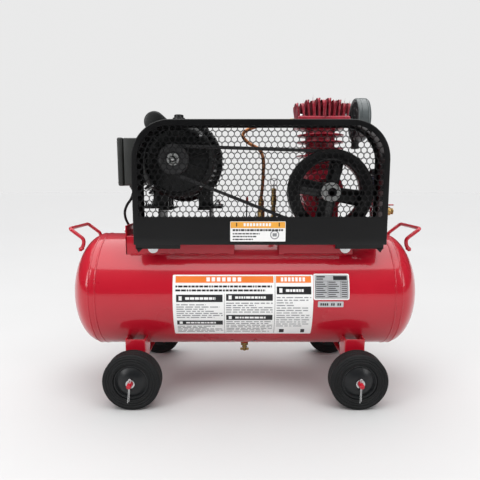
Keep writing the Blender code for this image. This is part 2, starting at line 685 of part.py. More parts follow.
def make_intake():
    """Flat round intake filter on a short neck at the head's right side."""
    x_face = PUMP_X + HEAD_HALF + GAP
    y = PUMP_Y - 0.002
    z = HEAD_LOW + 0.013
    profile = [(0.0, 0.0360), (0.050, 0.0360), (0.056, 0.0330), (0.058, 0.0290), (0.058, 0.0070),
               (0.056, 0.0030), (0.050, 0.0), (0.0, 0.0)]
    canister = turned("air_filter", GREY, profile, (0.2990, y, 0.7180), "X", 24)
    fuse(canister, cylinder("filter_neck", GREY, 0.0105, (0.0, y, z), x_face, 0.3010, "X", 14))
    fuse(canister, cylinder("filter_flange", GREY, 0.0180, (0.0, y, z), 0.2880, 0.3010, "X", 16))


def belt_loop(big, small):
    """Outline of a loop round both pulleys, in X and Z."""
    far = Vector((PUMP_X - MOTOR_X, CRANK_Z - MOTOR_Z))
    slope = math.degrees(math.atan2(far.y, far.x))
    wrap = math.degrees(math.asin((big - small) / far.length))
    outline = arc((PUMP_X, CRANK_Z), big, slope - 90 - wrap, slope + 90 + wrap, 22)
    outline += arc((MOTOR_X, MOTOR_Z), small, slope + 90 + wrap, slope + 270 - wrap, 10)
    return outline


def make_belt():
    outer = belt_loop(BELT_ON_FLYWHEEL, BELT_ON_PULLEY)
    inner = belt_loop(BELT_ON_FLYWHEEL - BELT_THICKNESS, BELT_ON_PULLEY - BELT_THICKNESS)
    prism("drive_belt", RUBBER, [outer, inner], BELT_Y - BELT_HALF, BELT_Y + BELT_HALF, "-Y")


# ---------------------------------------------------------------- belt guard

def guard_outline(inset, low):
    """The guard's face outline: square below, with two large round corners above."""
    left = GUARD_X[0] + inset
    right = GUARD_X[1] - inset
    top = GUARD_Z[1] - inset
    radius = GUARD_CORNER - inset
    outline = [(left, low), (right, low)]
    outline += arc((right - radius, top - radius), radius, 0, 90, 6)
    outline += arc((left + radius, top - radius), radius, 90, 180, 6)
    return outline


def make_guard():
    front, back = GUARD_Y
    low = GUARD_Z[0]
    shell = prism("guard_frame", BLACK, [guard_outline(0.0, low)], front, back, "-Y")
    sheet = GUARD_SHEET
    cut(shell, prism("guard_room", BLACK, [guard_outline(sheet, low - 0.05)],
                     front + sheet, back - sheet, "-Y"))
    cut(shell, prism("guard_window", BLACK, [guard_outline(GUARD_LIP, GUARD_BAND_TOP)],
                     front - 0.01, front + 0.01, "-Y"))
    cut(shell, prism("guard_back", BLACK, [guard_outline(0.009, low - 0.05)],
                     back - 0.01, back + 0.01, "-Y"))
    cut(shell, block("guard_notch", BLACK, (-0.29, -0.107, 0.39), (-0.25, -0.03, BASE_TOP + 0.002)))
    for name, low_x, high_x, tip in (("left", -0.2635, -0.156, -0.2635), ("right", 0.216, 0.3315, 0.3315)):
        inward = 0.012 if tip == low_x else -0.012
        foot_low = 0.3885
        outline = [(low_x, 0.418), (low_x, foot_low), (high_x, foot_low), (high_x, 0.418)]
        foot = prism("guard_foot_" + name, BLACK, [outline], front + 0.0005, front + 0.0045, "-Y")
        spike = [(tip, foot_low + 0.003), (tip + inward * 0.6, foot_low - 0.009),
                 (tip + inward * 1.6, foot_low + 0.003)]
        fuse(foot, prism("guard_spike_" + name, BLACK, [spike], front + 0.0005, front + 0.0045, "-Y"))
        fuse(shell, foot)
        arm_low = min(low_x, high_x) + 0.030
        fuse(shell, block("guard_arm_" + name, BLACK, (arm_low, front + 0.001, 0.3990),
                          (arm_low + 0.030, -BASE_HALF_Y - GAP, 0.4030)))
    mesh_low = GUARD_BAND_TOP - 0.006
    prism("guard_mesh", BLACK, [guard_outline(GUARD_SHEET + 0.003, mesh_low)],
          front + sheet + GAP, front + sheet + GAP + 0.0012, "-Y")


# ---------------------------------------------------------------- air fittings

def make_discharge():
    x, y = CHECK_VALVE_AT
    seat = tank_top(y) + PORT_RISE
    body = [(0.0, 0.4810), (0.0075, 0.4810), (0.0095, 0.4785), (0.0095, 0.4640), (0.0125, 0.4630),
            (0.0125, seat + 0.0015), (0.0090, seat + 0.0015), (0.0090, seat - 0.012), (0.0, seat - 0.012)]
    turned("check_valve", BRASS, body, (x, y, 0.0), "Z", 12)
    head_side = PUMP_X - HEAD_HALF - GAP
    route = [(head_side, y + 0.004, 0.7150), (0.120, y + 0.004, 0.7150),
             (0.080, y + 0.002, 0.7120), (0.030, y, 0.7000), (0.0030, y, 0.6890), (-0.0045, y, 0.6740),
             (0.012, y, 0.6560), (0.040, y, 0.6390), (0.0520, y, 0.6150), (0.0530, y, 0.580),
             (0.0500, y, 0.530), (x, y, 0.500), (x, y, 0.4815)]
    rod("discharge_pipe", COPPER, smooth_route(route, 2), 0.0048)


def make_safety_valve():
    """Brass relief valve on a tall nipple, with a pull ring on its stem."""
    x, y = SAFETY_VALVE_AT
    seat = tank_top(y) + PORT_RISE
    body = [(0.0, 0.5330), (0.0050, 0.5330), (0.0066, 0.5290), (0.0066, 0.5020), (0.0080, 0.5000),
            (0.0080, 0.4900), (0.0055, 0.4880), (0.0055, 0.4620), (0.0090, 0.4600),
            (0.0090, seat + 0.0015), (0.0070, seat - 0.002), (0.0070, seat - 0.012), (0.0, seat - 0.012)]
    turned("safety_valve", BRASS, body, (x, y, 0.0), "Z", 12)
    ring = rod("safety_ring", STEEL, [
        (x + 0.0085 * math.cos(math.radians(a)), y, 0.5480 + 0.0100 * math.sin(math.radians(a)))
        for a in range(0, 360, 30)], 0.0010, 1)
    ring.data.splines[0].use_cyclic_u = True
    ring = as_mesh(ring)
    fuse(ring, cylinder("safety_stem", STEEL, 0.0024, (x, y, 0.0), 0.5340, 0.5395, "Z", 10))
    hang("safety_pull", (x, y, 0.5335), ring)


def make_pressure_switch():
    x, y = SWITCH_AT
    seat = tank_top(y) + PORT_RISE
    cover = block("pressure_switch", PLASTIC, (x - 0.0300, y - 0.026, 0.4053),
                  (x + 0.0260, y + 0.026, 0.4450), 0.003)
    fuse(cover, cylinder("switch_nipple", BRASS, 0.0090, (x, y, 0.0), seat - 0.012, 0.4100, "Z", 16))
    cut(cover, block("lever_slot", PLASTIC, (x - 0.0220, y - 0.0035, 0.4300),
                     (x + 0.0200, y + 0.0035, 0.4600)))
    low = (x, y, 0.4365)
    high = (x + 0.0020, y, 0.4925)
    lever = as_mesh(rod("switch_lever", PLASTIC, [low, high], 0.0022))
    fuse(lever, block("lever_tip", RED_PLASTIC, (x - 0.0015, y - 0.0045, 0.4890),
                      (x + 0.0055, y + 0.0045, 0.5060)))
    hang("switch_lever_pivot", low, lever)


def make_air_outlet():
    """Riser from the tank with the outlet cock on its side and the regulator on top."""
    x, y = RISER_AT
    seat = tank_top(y) + PORT_RISE
    pipe = cylinder("air_riser", STEEL, 0.0090, (x, y, 0.0), seat - 0.012, 0.5345, "Z", 18)
    fuse(pipe, cylinder("riser_collar", STEEL, 0.0130, (x, y, 0.0), 0.4590, 0.4820, "Z", 18))
    body = cylinder("regulator", GREY, 0.0185, (x, y, 0.0), 0.5348, 0.5620, "Z", 24, 0.002)
    fuse(body, cylinder("regulator_neck", GREY, 0.0120, (x, y, 0.0), 0.5600, 0.5660, "Z", 20))
    knob = cylinder("regulator_knob", PLASTIC, 0.0165, (x, y, 0.0), 0.5663, 0.5830, "Z", 20, 0.002)
    hang("regulator_knob_pivot", (x, y, 0.5663), knob)
    z = 0.4705
    end = x + 0.0495
    stem_x = x + 0.0310
    cock = cylinder("outlet_cock", BRASS, 0.0085, (0.0, y, z), x + 0.0130 + GAP, end, "X", 18)
    fuse(cock, cylinder("cock_body", BRASS, 0.0115, (0.0, y, z), x + 0.0200, end - 0.0065, "X", 12))
    fuse(cock, cylinder("cock_stem", BRASS, 0.0055, (stem_x, y, 0.0), z, z + 0.0150, "Z", 14))
    cut(cock, cylinder("cock_bore", BRASS, 0.0050, (0.0, y, z), end - 0.0100, end + 0.05, "X", 14))
    handle = block("cock_lever", RED_PLASTIC, (stem_x - 0.0140, y - 0.0050, z + 0.0153),
                   (stem_x + 0.0195, y + 0.0050, z + 0.0185), 0.0008)
    hang("cock_lever_pivot", (stem_x, y, z + 0.0153), handle)


def make_drain():
    face = DRAIN_FACE
    body = [(0.0, face + 0.012), (0.0090, face + 0.012), (0.0090, face - 0.0015), (0.0105, face - 0.0015),
            (0.0105, face - 0.0095), (0.0060, face - 0.0110), (0.0060, face - 0.0170), (0.0, face - 0.0170)]
    turned("drain_cock", BRASS, body, (0.0, 0.0, 0.0), "Z", 14)
    wing = cylinder("drain_wing", BRASS, 0.0040, (0.0, 0.0, 0.0), face - 0.0270, face - 0.0173, "Z", 12)
    fuse(wing, block("drain_bar", BRASS, (-0.0120, -0.0014, face - 0.0262),
                     (0.0120, 0.0014, face - 0.0195), 0.0005))
    hang("drain_pivot", (0.0, 0.0, face - 0.0173), wing)


LEAD_RADIUS = 0.0035
LEAD_ROUTE = [
    (-0.3020, 0.0000, 0.5275), (-0.3026, 0.0000, 0.5180), (-0.3085, 0.0000, 0.5030),
    (-0.3190, 0.0004, 0.4880), (-0.3265, 0.0020, 0.4710), (-0.3275, 0.0075, 0.4520),
    (-0.3235, 0.0185, 0.4335), (-0.3180, 0.0350, 0.4175), (-0.3140, 0.0540, 0.4052),
    (-0.3130, 0.0720, 0.3960), (-0.3120, 0.0890, 0.3860), (-0.3060, 0.1045, 0.3765),
    (-0.2935, 0.1145, 0.3700), (-0.2770, 0.1180, 0.3680), (-0.2550, 0.1155, 0.3670),
    (-0.2200, 0.1120, 0.3680), (-0.1700, 0.1110, 0.3688), (-0.1250, 0.1120, 0.3686),
    (-0.0900, 0.1170, 0.3680), (-0.0650, 0.1275, 0.3685), (-0.0430, 0.1405, 0.3710),
    (-0.0210, 0.1505, 0.3785), (-0.0045, 0.1535, 0.3930), (0.0010, 0.1490, 0.4110),
    (0.0005, 0.1370, 0.4240), (0.0000, 0.1230, 0.4297), (0.0000, 0.1115, 0.4300)]


def make_lead():
    """Lead from the motor's switch box, round the back of the base plate, to the pressure switch."""
    rod("motor_lead", RUBBER, smooth_route(LEAD_ROUTE, 3), LEAD_RADIUS)


def main():
    clear_scene()
    make_tank()
    make_handle("left", -1)
    make_handle("right", 1)
    make_running_gear()
    make_base("motor_base", MOTOR_BASE_X, True)
    make_base("pump_base", PUMP_BASE_X, False)
    make_risers()
    make_motor()
    make_crankcase()
    make_crank_train()
    make_cylinder()
    make_cylinder_head()
    make_intake()
    make_belt()
    make_guard()
    make_discharge()
    make_safety_valve()
    make_pressure_switch()
    make_air_outlet()
    make_drain()
    make_lead()


main()
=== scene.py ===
"""Looks of a belt-driven air compressor: a wheeled horizontal tank with a motor, a single-cylinder
pump, a perforated belt guard, air fittings and labels, built round the packed frame.

Metres, +Z up. +X runs along the tank towards the pump end, and the belt guard faces -Y.
"""
import json
import math
import random

import bmesh
import bpy
from bpy.props import FloatProperty, FloatVectorProperty, IntProperty, PointerProperty
from mathutils import Matrix, Vector


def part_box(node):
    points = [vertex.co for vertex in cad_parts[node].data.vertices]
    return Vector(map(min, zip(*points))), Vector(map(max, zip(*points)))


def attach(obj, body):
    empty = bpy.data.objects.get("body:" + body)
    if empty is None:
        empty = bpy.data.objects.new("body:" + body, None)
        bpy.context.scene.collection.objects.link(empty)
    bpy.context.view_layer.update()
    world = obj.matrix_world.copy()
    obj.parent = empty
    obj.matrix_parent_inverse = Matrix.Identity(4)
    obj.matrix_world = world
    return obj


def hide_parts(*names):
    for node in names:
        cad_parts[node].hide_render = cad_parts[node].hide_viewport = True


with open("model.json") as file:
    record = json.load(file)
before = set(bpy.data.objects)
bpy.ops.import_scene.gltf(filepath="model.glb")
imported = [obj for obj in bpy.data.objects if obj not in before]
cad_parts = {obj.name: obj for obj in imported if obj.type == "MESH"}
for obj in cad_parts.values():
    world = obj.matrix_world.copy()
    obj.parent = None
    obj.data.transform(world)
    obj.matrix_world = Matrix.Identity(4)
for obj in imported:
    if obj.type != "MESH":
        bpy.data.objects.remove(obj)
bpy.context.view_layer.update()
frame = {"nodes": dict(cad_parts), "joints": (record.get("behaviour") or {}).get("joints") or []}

bl_info = {
    "name": "Air Compressor Looks",
    "version": (1, 0, 0),
    "blender": (4, 5, 0),
    "location": "3D View > Sidebar > Compressor",
    "description": "Builds the visible surface of an air compressor round its packed frame",
    "category": "Object",
}

COLLECTION = "Air compressor looks"
SKIN = 0.0002                # how far a printed layer stands off what it lies on
FLOOR_RADIUS = 30.0          # wide enough that the floor's rim never shows
FLOOR_GAP = 0.0002           # the floor lies this far under the tyres
BUNG_TOP = 0.008             # how far a bung stands out of the tank
BUNG_RADIUS = 0.014
BUNG_BORE = 0.0095


def middle(node):
    low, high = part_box(node)
    return (low + high) / 2


def span(node):
    low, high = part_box(node)
    return high - low


def low_corner(node):
    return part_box(node)[0]


def high_corner(node):
    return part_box(node)[1]


def joint_place(name):
    return Vector(next(joint["pos_m"] for joint in frame["joints"] if joint["name"] == name))


# ---- settings

def length(title, words, default):
    return FloatProperty(name=title, description=words, default=default, min=0.0, unit="LENGTH")


def place(title, words, default):
    return FloatProperty(name=title, description=words, default=default, unit="LENGTH")


def colour(title, words, default):
    return FloatVectorProperty(name=title, description=words, default=default, size=3,
                               min=0.0, max=1.0, subtype="COLOR")


class TankSizes(bpy.types.PropertyGroup):
    """Sizes of the tank, its handles and its legs."""
    radius: length("Radius", "Outer radius of the barrel", span("tank_head_left").y / 2)
    axis_height: place("Axis height", "Height of the tank's axis", middle("tank_head_left").z)
    barrel_half: length("Barrel half", "Half of the barrel's length", high_corner("tank_barrel").x)
    half_length: length("Half length", "Middle of the tank to the tip of an end",
                        high_corner("tank_head_right").x)
    wall: length("Wall", "Thickness of the shell", 0.003)
    bead: length("Weld bead", "Half width of a weld bead", 0.0022)
    handle_radius: length("Handle rod", "Radius of the handle rod", 0.0047)
    leg_sheet: length("Leg sheet", "Thickness of a leg's sheet", 0.003)


class WheelSizes(bpy.types.PropertyGroup):
    """Sizes of the wheels and axles."""
    tyre_radius: length("Tyre radius", "Outer radius of a tyre", span("tyre_front_left").z / 2)
    tyre_half: length("Tyre half width", "Half of a tyre's width", span("tyre_front_left").y / 2)
    hub_radius: length("Hub radius", "Outer radius of a hub", span("hub_front_left").z / 2)
    axle_radius: length("Axle radius", "Radius of an axle", span("axle_left").z / 2)
    axle_half: length("Axle half", "Half of an axle's length", span("axle_left").y / 2)
    pin_wire: length("Pin wire", "Radius of a split pin's wire", 0.001)


class MotorSizes(bpy.types.PropertyGroup):
    """Sizes of the electric motor."""
    body_radius: length("Body radius", "Radius of the tube under the fins", 0.098)
    fin_radius: length("Fin radius", "Radius of the fin tips", 0.1165)
    fin_count: IntProperty(name="Fins", description="Fins round the whole motor", default=44, min=8)
    ring_radius: length("Ring radius", "Radius of the front shield's bright ring", 0.08)
    rib_count: IntProperty(name="Shield ribs", description="Ribs on the front shield", default=12)


class PumpSizes(bpy.types.PropertyGroup):
    """Sizes of the pump."""
    bore_x: place("Pump X", "Middle of the pump along the tank", middle("flywheel").x)
    cylinder_y: place("Cylinder Y", "Middle of the cylinder", middle("cylinder").y)
    crank_height: place("Crank height", "Height of the crankshaft", middle("flywheel").z)
    fin_radius: length("Fin radius", "Radius of the cylinder's fins", span("cylinder").x / 2)
    flywheel_radius: length("Flywheel radius", "Outer radius", span("flywheel").z / 2)


class GuardSizes(bpy.types.PropertyGroup):
    """Sizes of the belt guard and its perforated sheet."""
    corner: length("Corner", "Outer radius of the two upper corners", 0.092)
    sheet: length("Sheet", "Thickness of the folded sheet", 0.0016)
    lip: length("Front lip", "Width of the lip round the window", 0.014)
    back_lip: length("Back lip", "Width of the lip at the back", 0.009)
    band_top: place("Band top", "Top of the solid lower band", 0.465)
    hole_pitch: length("Hole pitch", "Distance between holes in a row", 0.0144)
    hole_radius: length("Hole radius", "Radius of a hole", 0.00635)
    hole_sides: IntProperty(name="Hole sides", description="Sides of a hole", default=18, min=6)


class FinishColours(bpy.types.PropertyGroup):
    """Colours of the main finishes."""
    enamel: colour("Tank red", "Glossy enamel on the tank", (0.47, 0.006, 0.02))
    casting: colour("Pump red", "Paint on the pump's castings", (0.33, 0.012, 0.03))
    black: colour("Guard black", "Gloss black on the guard", (0.003, 0.003, 0.0033))
    motor: colour("Motor black", "Paint on the motor", (0.006, 0.007, 0.007))
    rubber: colour("Rubber", "Tyres", (0.011, 0.0115, 0.012))
    plastic: colour("Black plastic", "Hubs and knobs", (0.008, 0.009, 0.01))
    grey: colour("Dark grey", "Switch box", (0.018, 0.02, 0.018))
    filter: colour("Filter grey", "Intake filter", (0.085, 0.1, 0.102))
    zinc: colour("Zinc", "Bolts, washers and pins", (0.56, 0.565, 0.57))
    brass: colour("Brass", "Valves and cocks", (0.34, 0.22, 0.085))
    copper: colour("Copper", "Discharge pipe", (0.36, 0.15, 0.065))
    orange: colour("Label orange", "Header blocks on the labels", (0.84, 0.21, 0.03))
    amber: colour("Label amber", "Header block on the guard's label", (0.86, 0.4, 0.05))
    paper: colour("Label white", "Ground of the labels", (0.9, 0.9, 0.89))


class StageSettings(bpy.types.PropertyGroup):
    """Camera, lights and floor."""
    lens: FloatProperty(name="Lens", description="Focal length of the camera", default=31.64,
                        subtype="DISTANCE_CAMERA")
    eye: FloatVectorProperty(name="Camera place", description="Where the camera stands",
                             default=(-0.0127, -1.1502, 0.5419), size=3, subtype="TRANSLATION")
    tilt: FloatProperty(name="Tilt", description="How far the camera looks down", default=0.1309,
                        subtype="ANGLE")
    ceiling: FloatProperty(name="Ceiling light", description="Brightness of the ceiling", default=3.0)
    ceiling_edge: FloatProperty(name="Ceiling edge", description="How high the ceiling's edge stands",
                                default=math.radians(46.0), subtype="ANGLE")
    floor: colour("Floor", "Pale floor", (0.55, 0.55, 0.55))


# ---- finishes

def node(tree, kind, settings=None, **inputs):
    """Add a shader node; settings are its own values and inputs are socket values or links."""
    made = tree.nodes.new(kind)
    for key, value in (settings or {}).items():
        setattr(made, key, value)
    for key, value in inputs.items():
        socket = made.inputs[key.replace("_", " ")]
        if isinstance(value, bpy.types.NodeSocket):
            tree.links.new(value, socket)
        else:
            socket.default_value = value
    return made


def noise(tree, scale, detail=4.0, stretch=(1.0, 1.0, 1.0)):
    """Noise over the piece's own place, stretched along an axis where asked."""
    where = node(tree, "ShaderNodeTexCoord")
    mapping = node(tree, "ShaderNodeMapping", Vector=where.outputs["Object"], Scale=stretch)
    made = node(tree, "ShaderNodeTexNoise", Vector=mapping.outputs["Vector"], Scale=scale,
                Detail=detail)
    return made.outputs["Fac"]


def ranged(tree, value, low, high, start=0.3, end=0.7):
    made = node(tree, "ShaderNodeMapRange", Value=value, From_Min=start, From_Max=end,
                To_Min=low, To_Max=high)
    return made.outputs["Result"]


def blended(tree, factor, first, second):
    """Mix of two colours, each a colour or a socket."""
    made = tree.nodes.new("ShaderNodeMix")
    made.data_type = "RGBA"
    tree.links.new(factor, made.inputs["Factor"])
    for socket, value in ((made.inputs[6], first), (made.inputs[7], second)):
        if isinstance(value, bpy.types.NodeSocket):
            tree.links.new(value, socket)
        else:
            socket.default_value = (*value, 1.0)
    return made.outputs[2]


def edges(tree, radius):
    """1 on outer edges and corners, 0 on open faces."""
    soft = node(tree, "ShaderNodeBevel", {"samples": 4}, Radius=radius)
    flat = node(tree, "ShaderNodeNewGeometry")
    dot = node(tree, "ShaderNodeVectorMath", {"operation": "DOT_PRODUCT"})
    tree.links.new(soft.outputs["Normal"], dot.inputs[0])
    tree.links.new(flat.outputs["Normal"], dot.inputs[1])
    return ranged(tree, dot.outputs["Value"], 1.0, 0.0, 0.8, 0.985)


def both(tree, first, second):
    made = node(tree, "ShaderNodeMath", {"operation": "MULTIPLY"})
    tree.links.new(first, made.inputs[0])
    tree.links.new(second, made.inputs[1])
    return made.outputs["Value"]


def bump(tree, shader, height, distance, strength=1.0):
    made = node(tree, "ShaderNodeBump", Height=height, Distance=distance, Strength=strength)
    tree.links.new(made.outputs["Normal"], shader.inputs["Normal"])


def shade(tint, by):
    return tuple(min(1.0, part * by) for part in tint)


def material(name, tint, rough, metallic=0.0, spread=0.12, patch=60.0, grain=900.0, relief=0.00001,
             coat=0.0, coat_rough=0.05, coat_ior=1.5, wear=None, wear_radius=0.0015, wear_amount=0.6,
             stretch=(1.0, 1.0, 1.0), specular=0.5, rough_spread=0.1):
    """A finish with patchy colour and gloss, a fine grain in relief and, where asked, worn edges."""
    made = bpy.data.materials.new(name)
    made.use_nodes = True
    made.diffuse_color = (*tint, 1.0)
    tree = made.node_tree
    shader = tree.nodes["Principled BSDF"]
    patches = noise(tree, patch, 5.0)
    fine = noise(tree, grain, 3.0, stretch)
    base = blended(tree, ranged(tree, patches, 0.0, 1.0), shade(tint, 1 - spread), shade(tint, 1 + spread))
    gloss = ranged(tree, patches, rough - rough_spread / 2, rough + rough_spread / 2)
    if wear is not None:
        worn = both(tree, edges(tree, wear_radius), ranged(tree, noise(tree, 160.0), 0.0, wear_amount,
                                                            0.42, 0.62))
        base = blended(tree, worn, base, wear)
    tree.links.new(base, shader.inputs["Base Color"])
    tree.links.new(gloss, shader.inputs["Roughness"])
    shader.inputs["Metallic"].default_value = metallic
    shader.inputs["Specular IOR Level"].default_value = specular
    shader.inputs["Coat Weight"].default_value = coat
    shader.inputs["Coat Roughness"].default_value = coat_rough
    shader.inputs["Coat IOR"].default_value = coat_ior
    bump(tree, shader, fine, relief)
    return made


FINISHES = {}
# The record's material slot that each finish stands for; the labels' finishes have none.
SLOTS = {
    "enamel": "tank_red", "casting": "pump_red", "guard_black": "black_paint", "motor_black": "black_paint",
    "machined": "steel", "zinc": "steel", "iron": "iron", "belt": "belt_rubber", "plastic": "black_plastic",
    "grey": "grey_paint", "filter": "grey_paint", "navy": "grey_paint", "red_plastic": "red_plastic",
    "brass": "brass", "copper": "copper",
}


def make_finishes(tints):
    """Every finish on the object, by its plain name."""
    rows = {
        "enamel": dict(tint=tints.enamel, rough=0.3, spread=0.05, patch=6.0, grain=260.0,
                       relief=0.000012, coat=0.7, coat_rough=0.045, coat_ior=1.55, specular=0.2,
                       wear=shade(tints.enamel, 0.45), wear_radius=0.001, wear_amount=0.4),
        "casting": dict(tint=tints.casting, rough=0.42, spread=0.3, patch=40.0, grain=520.0,
                        relief=0.00022, coat=0.3, coat_rough=0.22, specular=0.35,
                        wear=(0.33, 0.12, 0.13), wear_radius=0.0014, wear_amount=0.75),
        "guard_black": dict(tint=tints.black, rough=0.34, spread=0.2, patch=9.0, relief=0.000018,
                            coat=0.12, coat_rough=0.1, specular=0.22, wear=(0.05, 0.05, 0.052),
                            wear_radius=0.001, wear_amount=0.55),
        "motor_black": dict(tint=tints.motor, rough=0.46, spread=0.3, patch=32.0, grain=620.0,
                            relief=0.0001, coat=0.15, coat_rough=0.2, specular=0.3,
                            wear=(0.085, 0.088, 0.088), wear_radius=0.0012, wear_amount=0.8),
        "machined": dict(tint=(0.46, 0.47, 0.46), rough=0.42, metallic=0.3, spread=0.18, patch=55.0,
                         relief=0.00003, stretch=(1.0, 8.0, 1.0)),
        "zinc": dict(tint=tints.zinc, rough=0.26, metallic=1.0, spread=0.1, patch=90.0, grain=1200.0,
                     relief=0.00002),
        "iron": dict(tint=(0.045, 0.045, 0.046), rough=0.52, metallic=0.5, spread=0.25, grain=700.0,
                     relief=0.0001),
        "rubber": dict(tint=tints.rubber, rough=0.62, spread=0.22, patch=26.0, grain=1100.0,
                       relief=0.00005, specular=0.18, wear=(0.05, 0.05, 0.05), wear_radius=0.0012,
                       wear_amount=0.6),
        "belt": dict(tint=(0.026, 0.026, 0.027), rough=0.58, spread=0.25, grain=1500.0, relief=0.00006,
                     specular=0.4, wear=(0.075, 0.075, 0.072), wear_radius=0.001, wear_amount=0.8),
        "plastic": dict(tint=tints.plastic, rough=0.34, patch=30.0, grain=1400.0, relief=0.00003,
                        rough_spread=0.14, specular=0.35),
        "grey": dict(tint=tints.grey, rough=0.46, spread=0.14, patch=24.0, grain=1300.0, relief=0.00006,
                     wear=(0.1, 0.105, 0.1), wear_radius=0.001),
        "filter": dict(tint=tints.filter, rough=0.4, patch=30.0, grain=1200.0, relief=0.00004, coat=0.15,
                       coat_rough=0.2),
        "navy": dict(tint=(0.01, 0.013, 0.032), rough=0.34, patch=40.0, grain=1200.0, relief=0.00003),
        "red_plastic": dict(tint=(0.44, 0.018, 0.016), rough=0.36, spread=0.1, grain=1300.0,
                            relief=0.00004),
        "brass": dict(tint=tints.brass, rough=0.33, metallic=1.0, spread=0.28, patch=85.0, relief=0.00004,
                      rough_spread=0.2),
        "copper": dict(tint=tints.copper, rough=0.34, metallic=1.0, spread=0.35, patch=48.0, grain=700.0,
                       relief=0.00003, rough_spread=0.2),
        "alloy": dict(tint=(0.55, 0.56, 0.57), rough=0.4, metallic=1.0, spread=0.1, patch=50.0,
                      grain=800.0, relief=0.00005),
        "paper": dict(tint=tints.paper, rough=0.38, spread=0.02, patch=20.0, rough_spread=0.06),
        "print_black": dict(tint=(0.01, 0.01, 0.012), rough=0.36, spread=0.1),
        "print_grey": dict(tint=(0.26, 0.27, 0.28), rough=0.4, spread=0.3, patch=320.0),
        "orange": dict(tint=tints.orange, rough=0.36, spread=0.03, patch=30.0),
        "amber": dict(tint=tints.amber, rough=0.36, spread=0.03, patch=30.0),
        "plate": dict(tint=(0.52, 0.53, 0.54), rough=0.34, metallic=0.3, spread=0.05, patch=30.0),
        "glass": dict(tint=(0.32, 0.24, 0.12), rough=0.12, spread=0.1, grain=600.0, coat=1.0),
    }
    for name, values in rows.items():
        FINISHES[name] = material(name, **values)


# ---- modelling helpers

UNMOVED = Matrix.Identity(4)
AXES = {
    "Z": UNMOVED,
    "-Z": Matrix.Rotation(math.pi, 4, "X"),
    "X": Matrix.Rotation(math.pi / 2, 4, "Y"),
    "-X": Matrix.Rotation(-math.pi / 2, 4, "Y"),
    "Y": Matrix.Rotation(-math.pi / 2, 4, "X"),
    "-Y": Matrix.Rotation(math.pi / 2, 4, "X"),
}


# An outline's own X and Y laid along the world's Y and Z, with its thickness along X.
FACE_X = Matrix(((0, 0, 1, 0), (1, 0, 0, 0), (0, 1, 0, 0), (0, 0, 0, 1)))


def at(centre, turn="Z"):
    """Place of a shape whose own axis is Z."""
    return Matrix.Translation(Vector(centre)) @ AXES[turn]


def add_to_scene(item):
    bpy.context.scene.collection.objects.link(item)


def round_off(form, parts, width, segments=4, affect="EDGES", clamp=False):
    """Round the given edges, or the given corners of a sheet."""
    bmesh.ops.bevel(form, geom=parts, offset=width, offset_type="OFFSET", affect=affect,
                    segments=segments, profile=0.5, material=-1, clamp_overlap=clamp)


def soften(form, width, segments=2, angle=30.0):
    """Round every edge whose faces meet at more than the angle."""
    limit = math.radians(angle)
    sharp = [edge for edge in form.edges if edge.is_manifold and edge.calc_face_angle(0.0) > limit]
    round_off(form, sharp, width, segments, clamp=True)
    return form


def full_spin(form, parts, steps):
    """Spin the parts once round Z."""
    bmesh.ops.spin(form, geom=parts, cent=(0, 0, 0), axis=(0, 0, 1), angle=math.tau, steps=steps,
                   use_merge=True)


def whole(form):
    return list(form.verts) + list(form.edges) + list(form.faces)


def lathe(profile, where, steps=64, ring=False, edge=0.0):
    """Spin a profile of (radius, height) points about the place's own axis."""
    form = bmesh.new()
    corners = [form.verts.new((radius, 0.0, height)) for radius, height in profile]
    lines = [form.edges.new(pair) for pair in zip(corners, corners[1:])]
    if ring:
        lines.append(form.edges.new((corners[-1], corners[0])))
    full_spin(form, corners + lines, steps)
    bmesh.ops.remove_doubles(form, verts=form.verts, dist=0.000001)
    bmesh.ops.recalc_face_normals(form, faces=form.faces)
    if edge > 0.0:
        soften(form, edge, 2, 24.0)
    form.transform(where)
    return form


def disc(radius, low, high, where, steps=40, edge=0.0006):
    """A solid round bar or disc with rounded rims."""
    form = bmesh.new()
    bmesh.ops.create_cone(form, cap_ends=True, segments=steps, radius1=radius, radius2=radius,
                          depth=high - low)
    bmesh.ops.translate(form, verts=form.verts, vec=(0, 0, (low + high) / 2))
    if edge > 0.0:
        soften(form, edge, 2, 50.0)
    form.transform(where)
    return form


def nut(across, low, high, where, edge=0.0005):
    """A hexagon bar, measured across its flats."""
    return disc(across / math.sqrt(3), low, high, where, 6, edge)


def box(low, high, edge=0.0008, where=None, segments=2):
    low = Vector(low)
    high = Vector(high)
    form = bmesh.new()
    bmesh.ops.create_cube(form, size=1.0)
    bmesh.ops.scale(form, vec=high - low, verts=form.verts)
    bmesh.ops.translate(form, verts=form.verts, vec=(low + high) / 2)
    if edge > 0.0:
        soften(form, edge, segments)
    if where is not None:
        form.transform(where)
    return form


def prism(outline, low, high, where, edge=0.0):
    """A flat outline in the place's X and Y, thickened from low to high along its axis."""
    form = bmesh.new()
    face = form.faces.new([form.verts.new((x, y, low)) for x, y in outline])
    grown = bmesh.ops.extrude_face_region(form, geom=[face])
    top = [item for item in grown["geom"] if isinstance(item, bmesh.types.BMVert)]
    bmesh.ops.translate(form, verts=top, vec=(0, 0, high - low))
    bmesh.ops.recalc_face_normals(form, faces=form.faces)
    if edge > 0.0:
        soften(form, edge)
    form.transform(where)
    return form


def join(form, *others):
    """Add other shapes to a shape, each as a body of its own."""
    for other in others:
        mesh = bpy.data.meshes.new("joined")
        other.to_mesh(mesh)
        other.free()
        form.from_mesh(mesh)
        bpy.data.meshes.remove(mesh)
    return form


def together(shapes):
    shapes = list(shapes)
    return join(shapes[0], *shapes[1:])


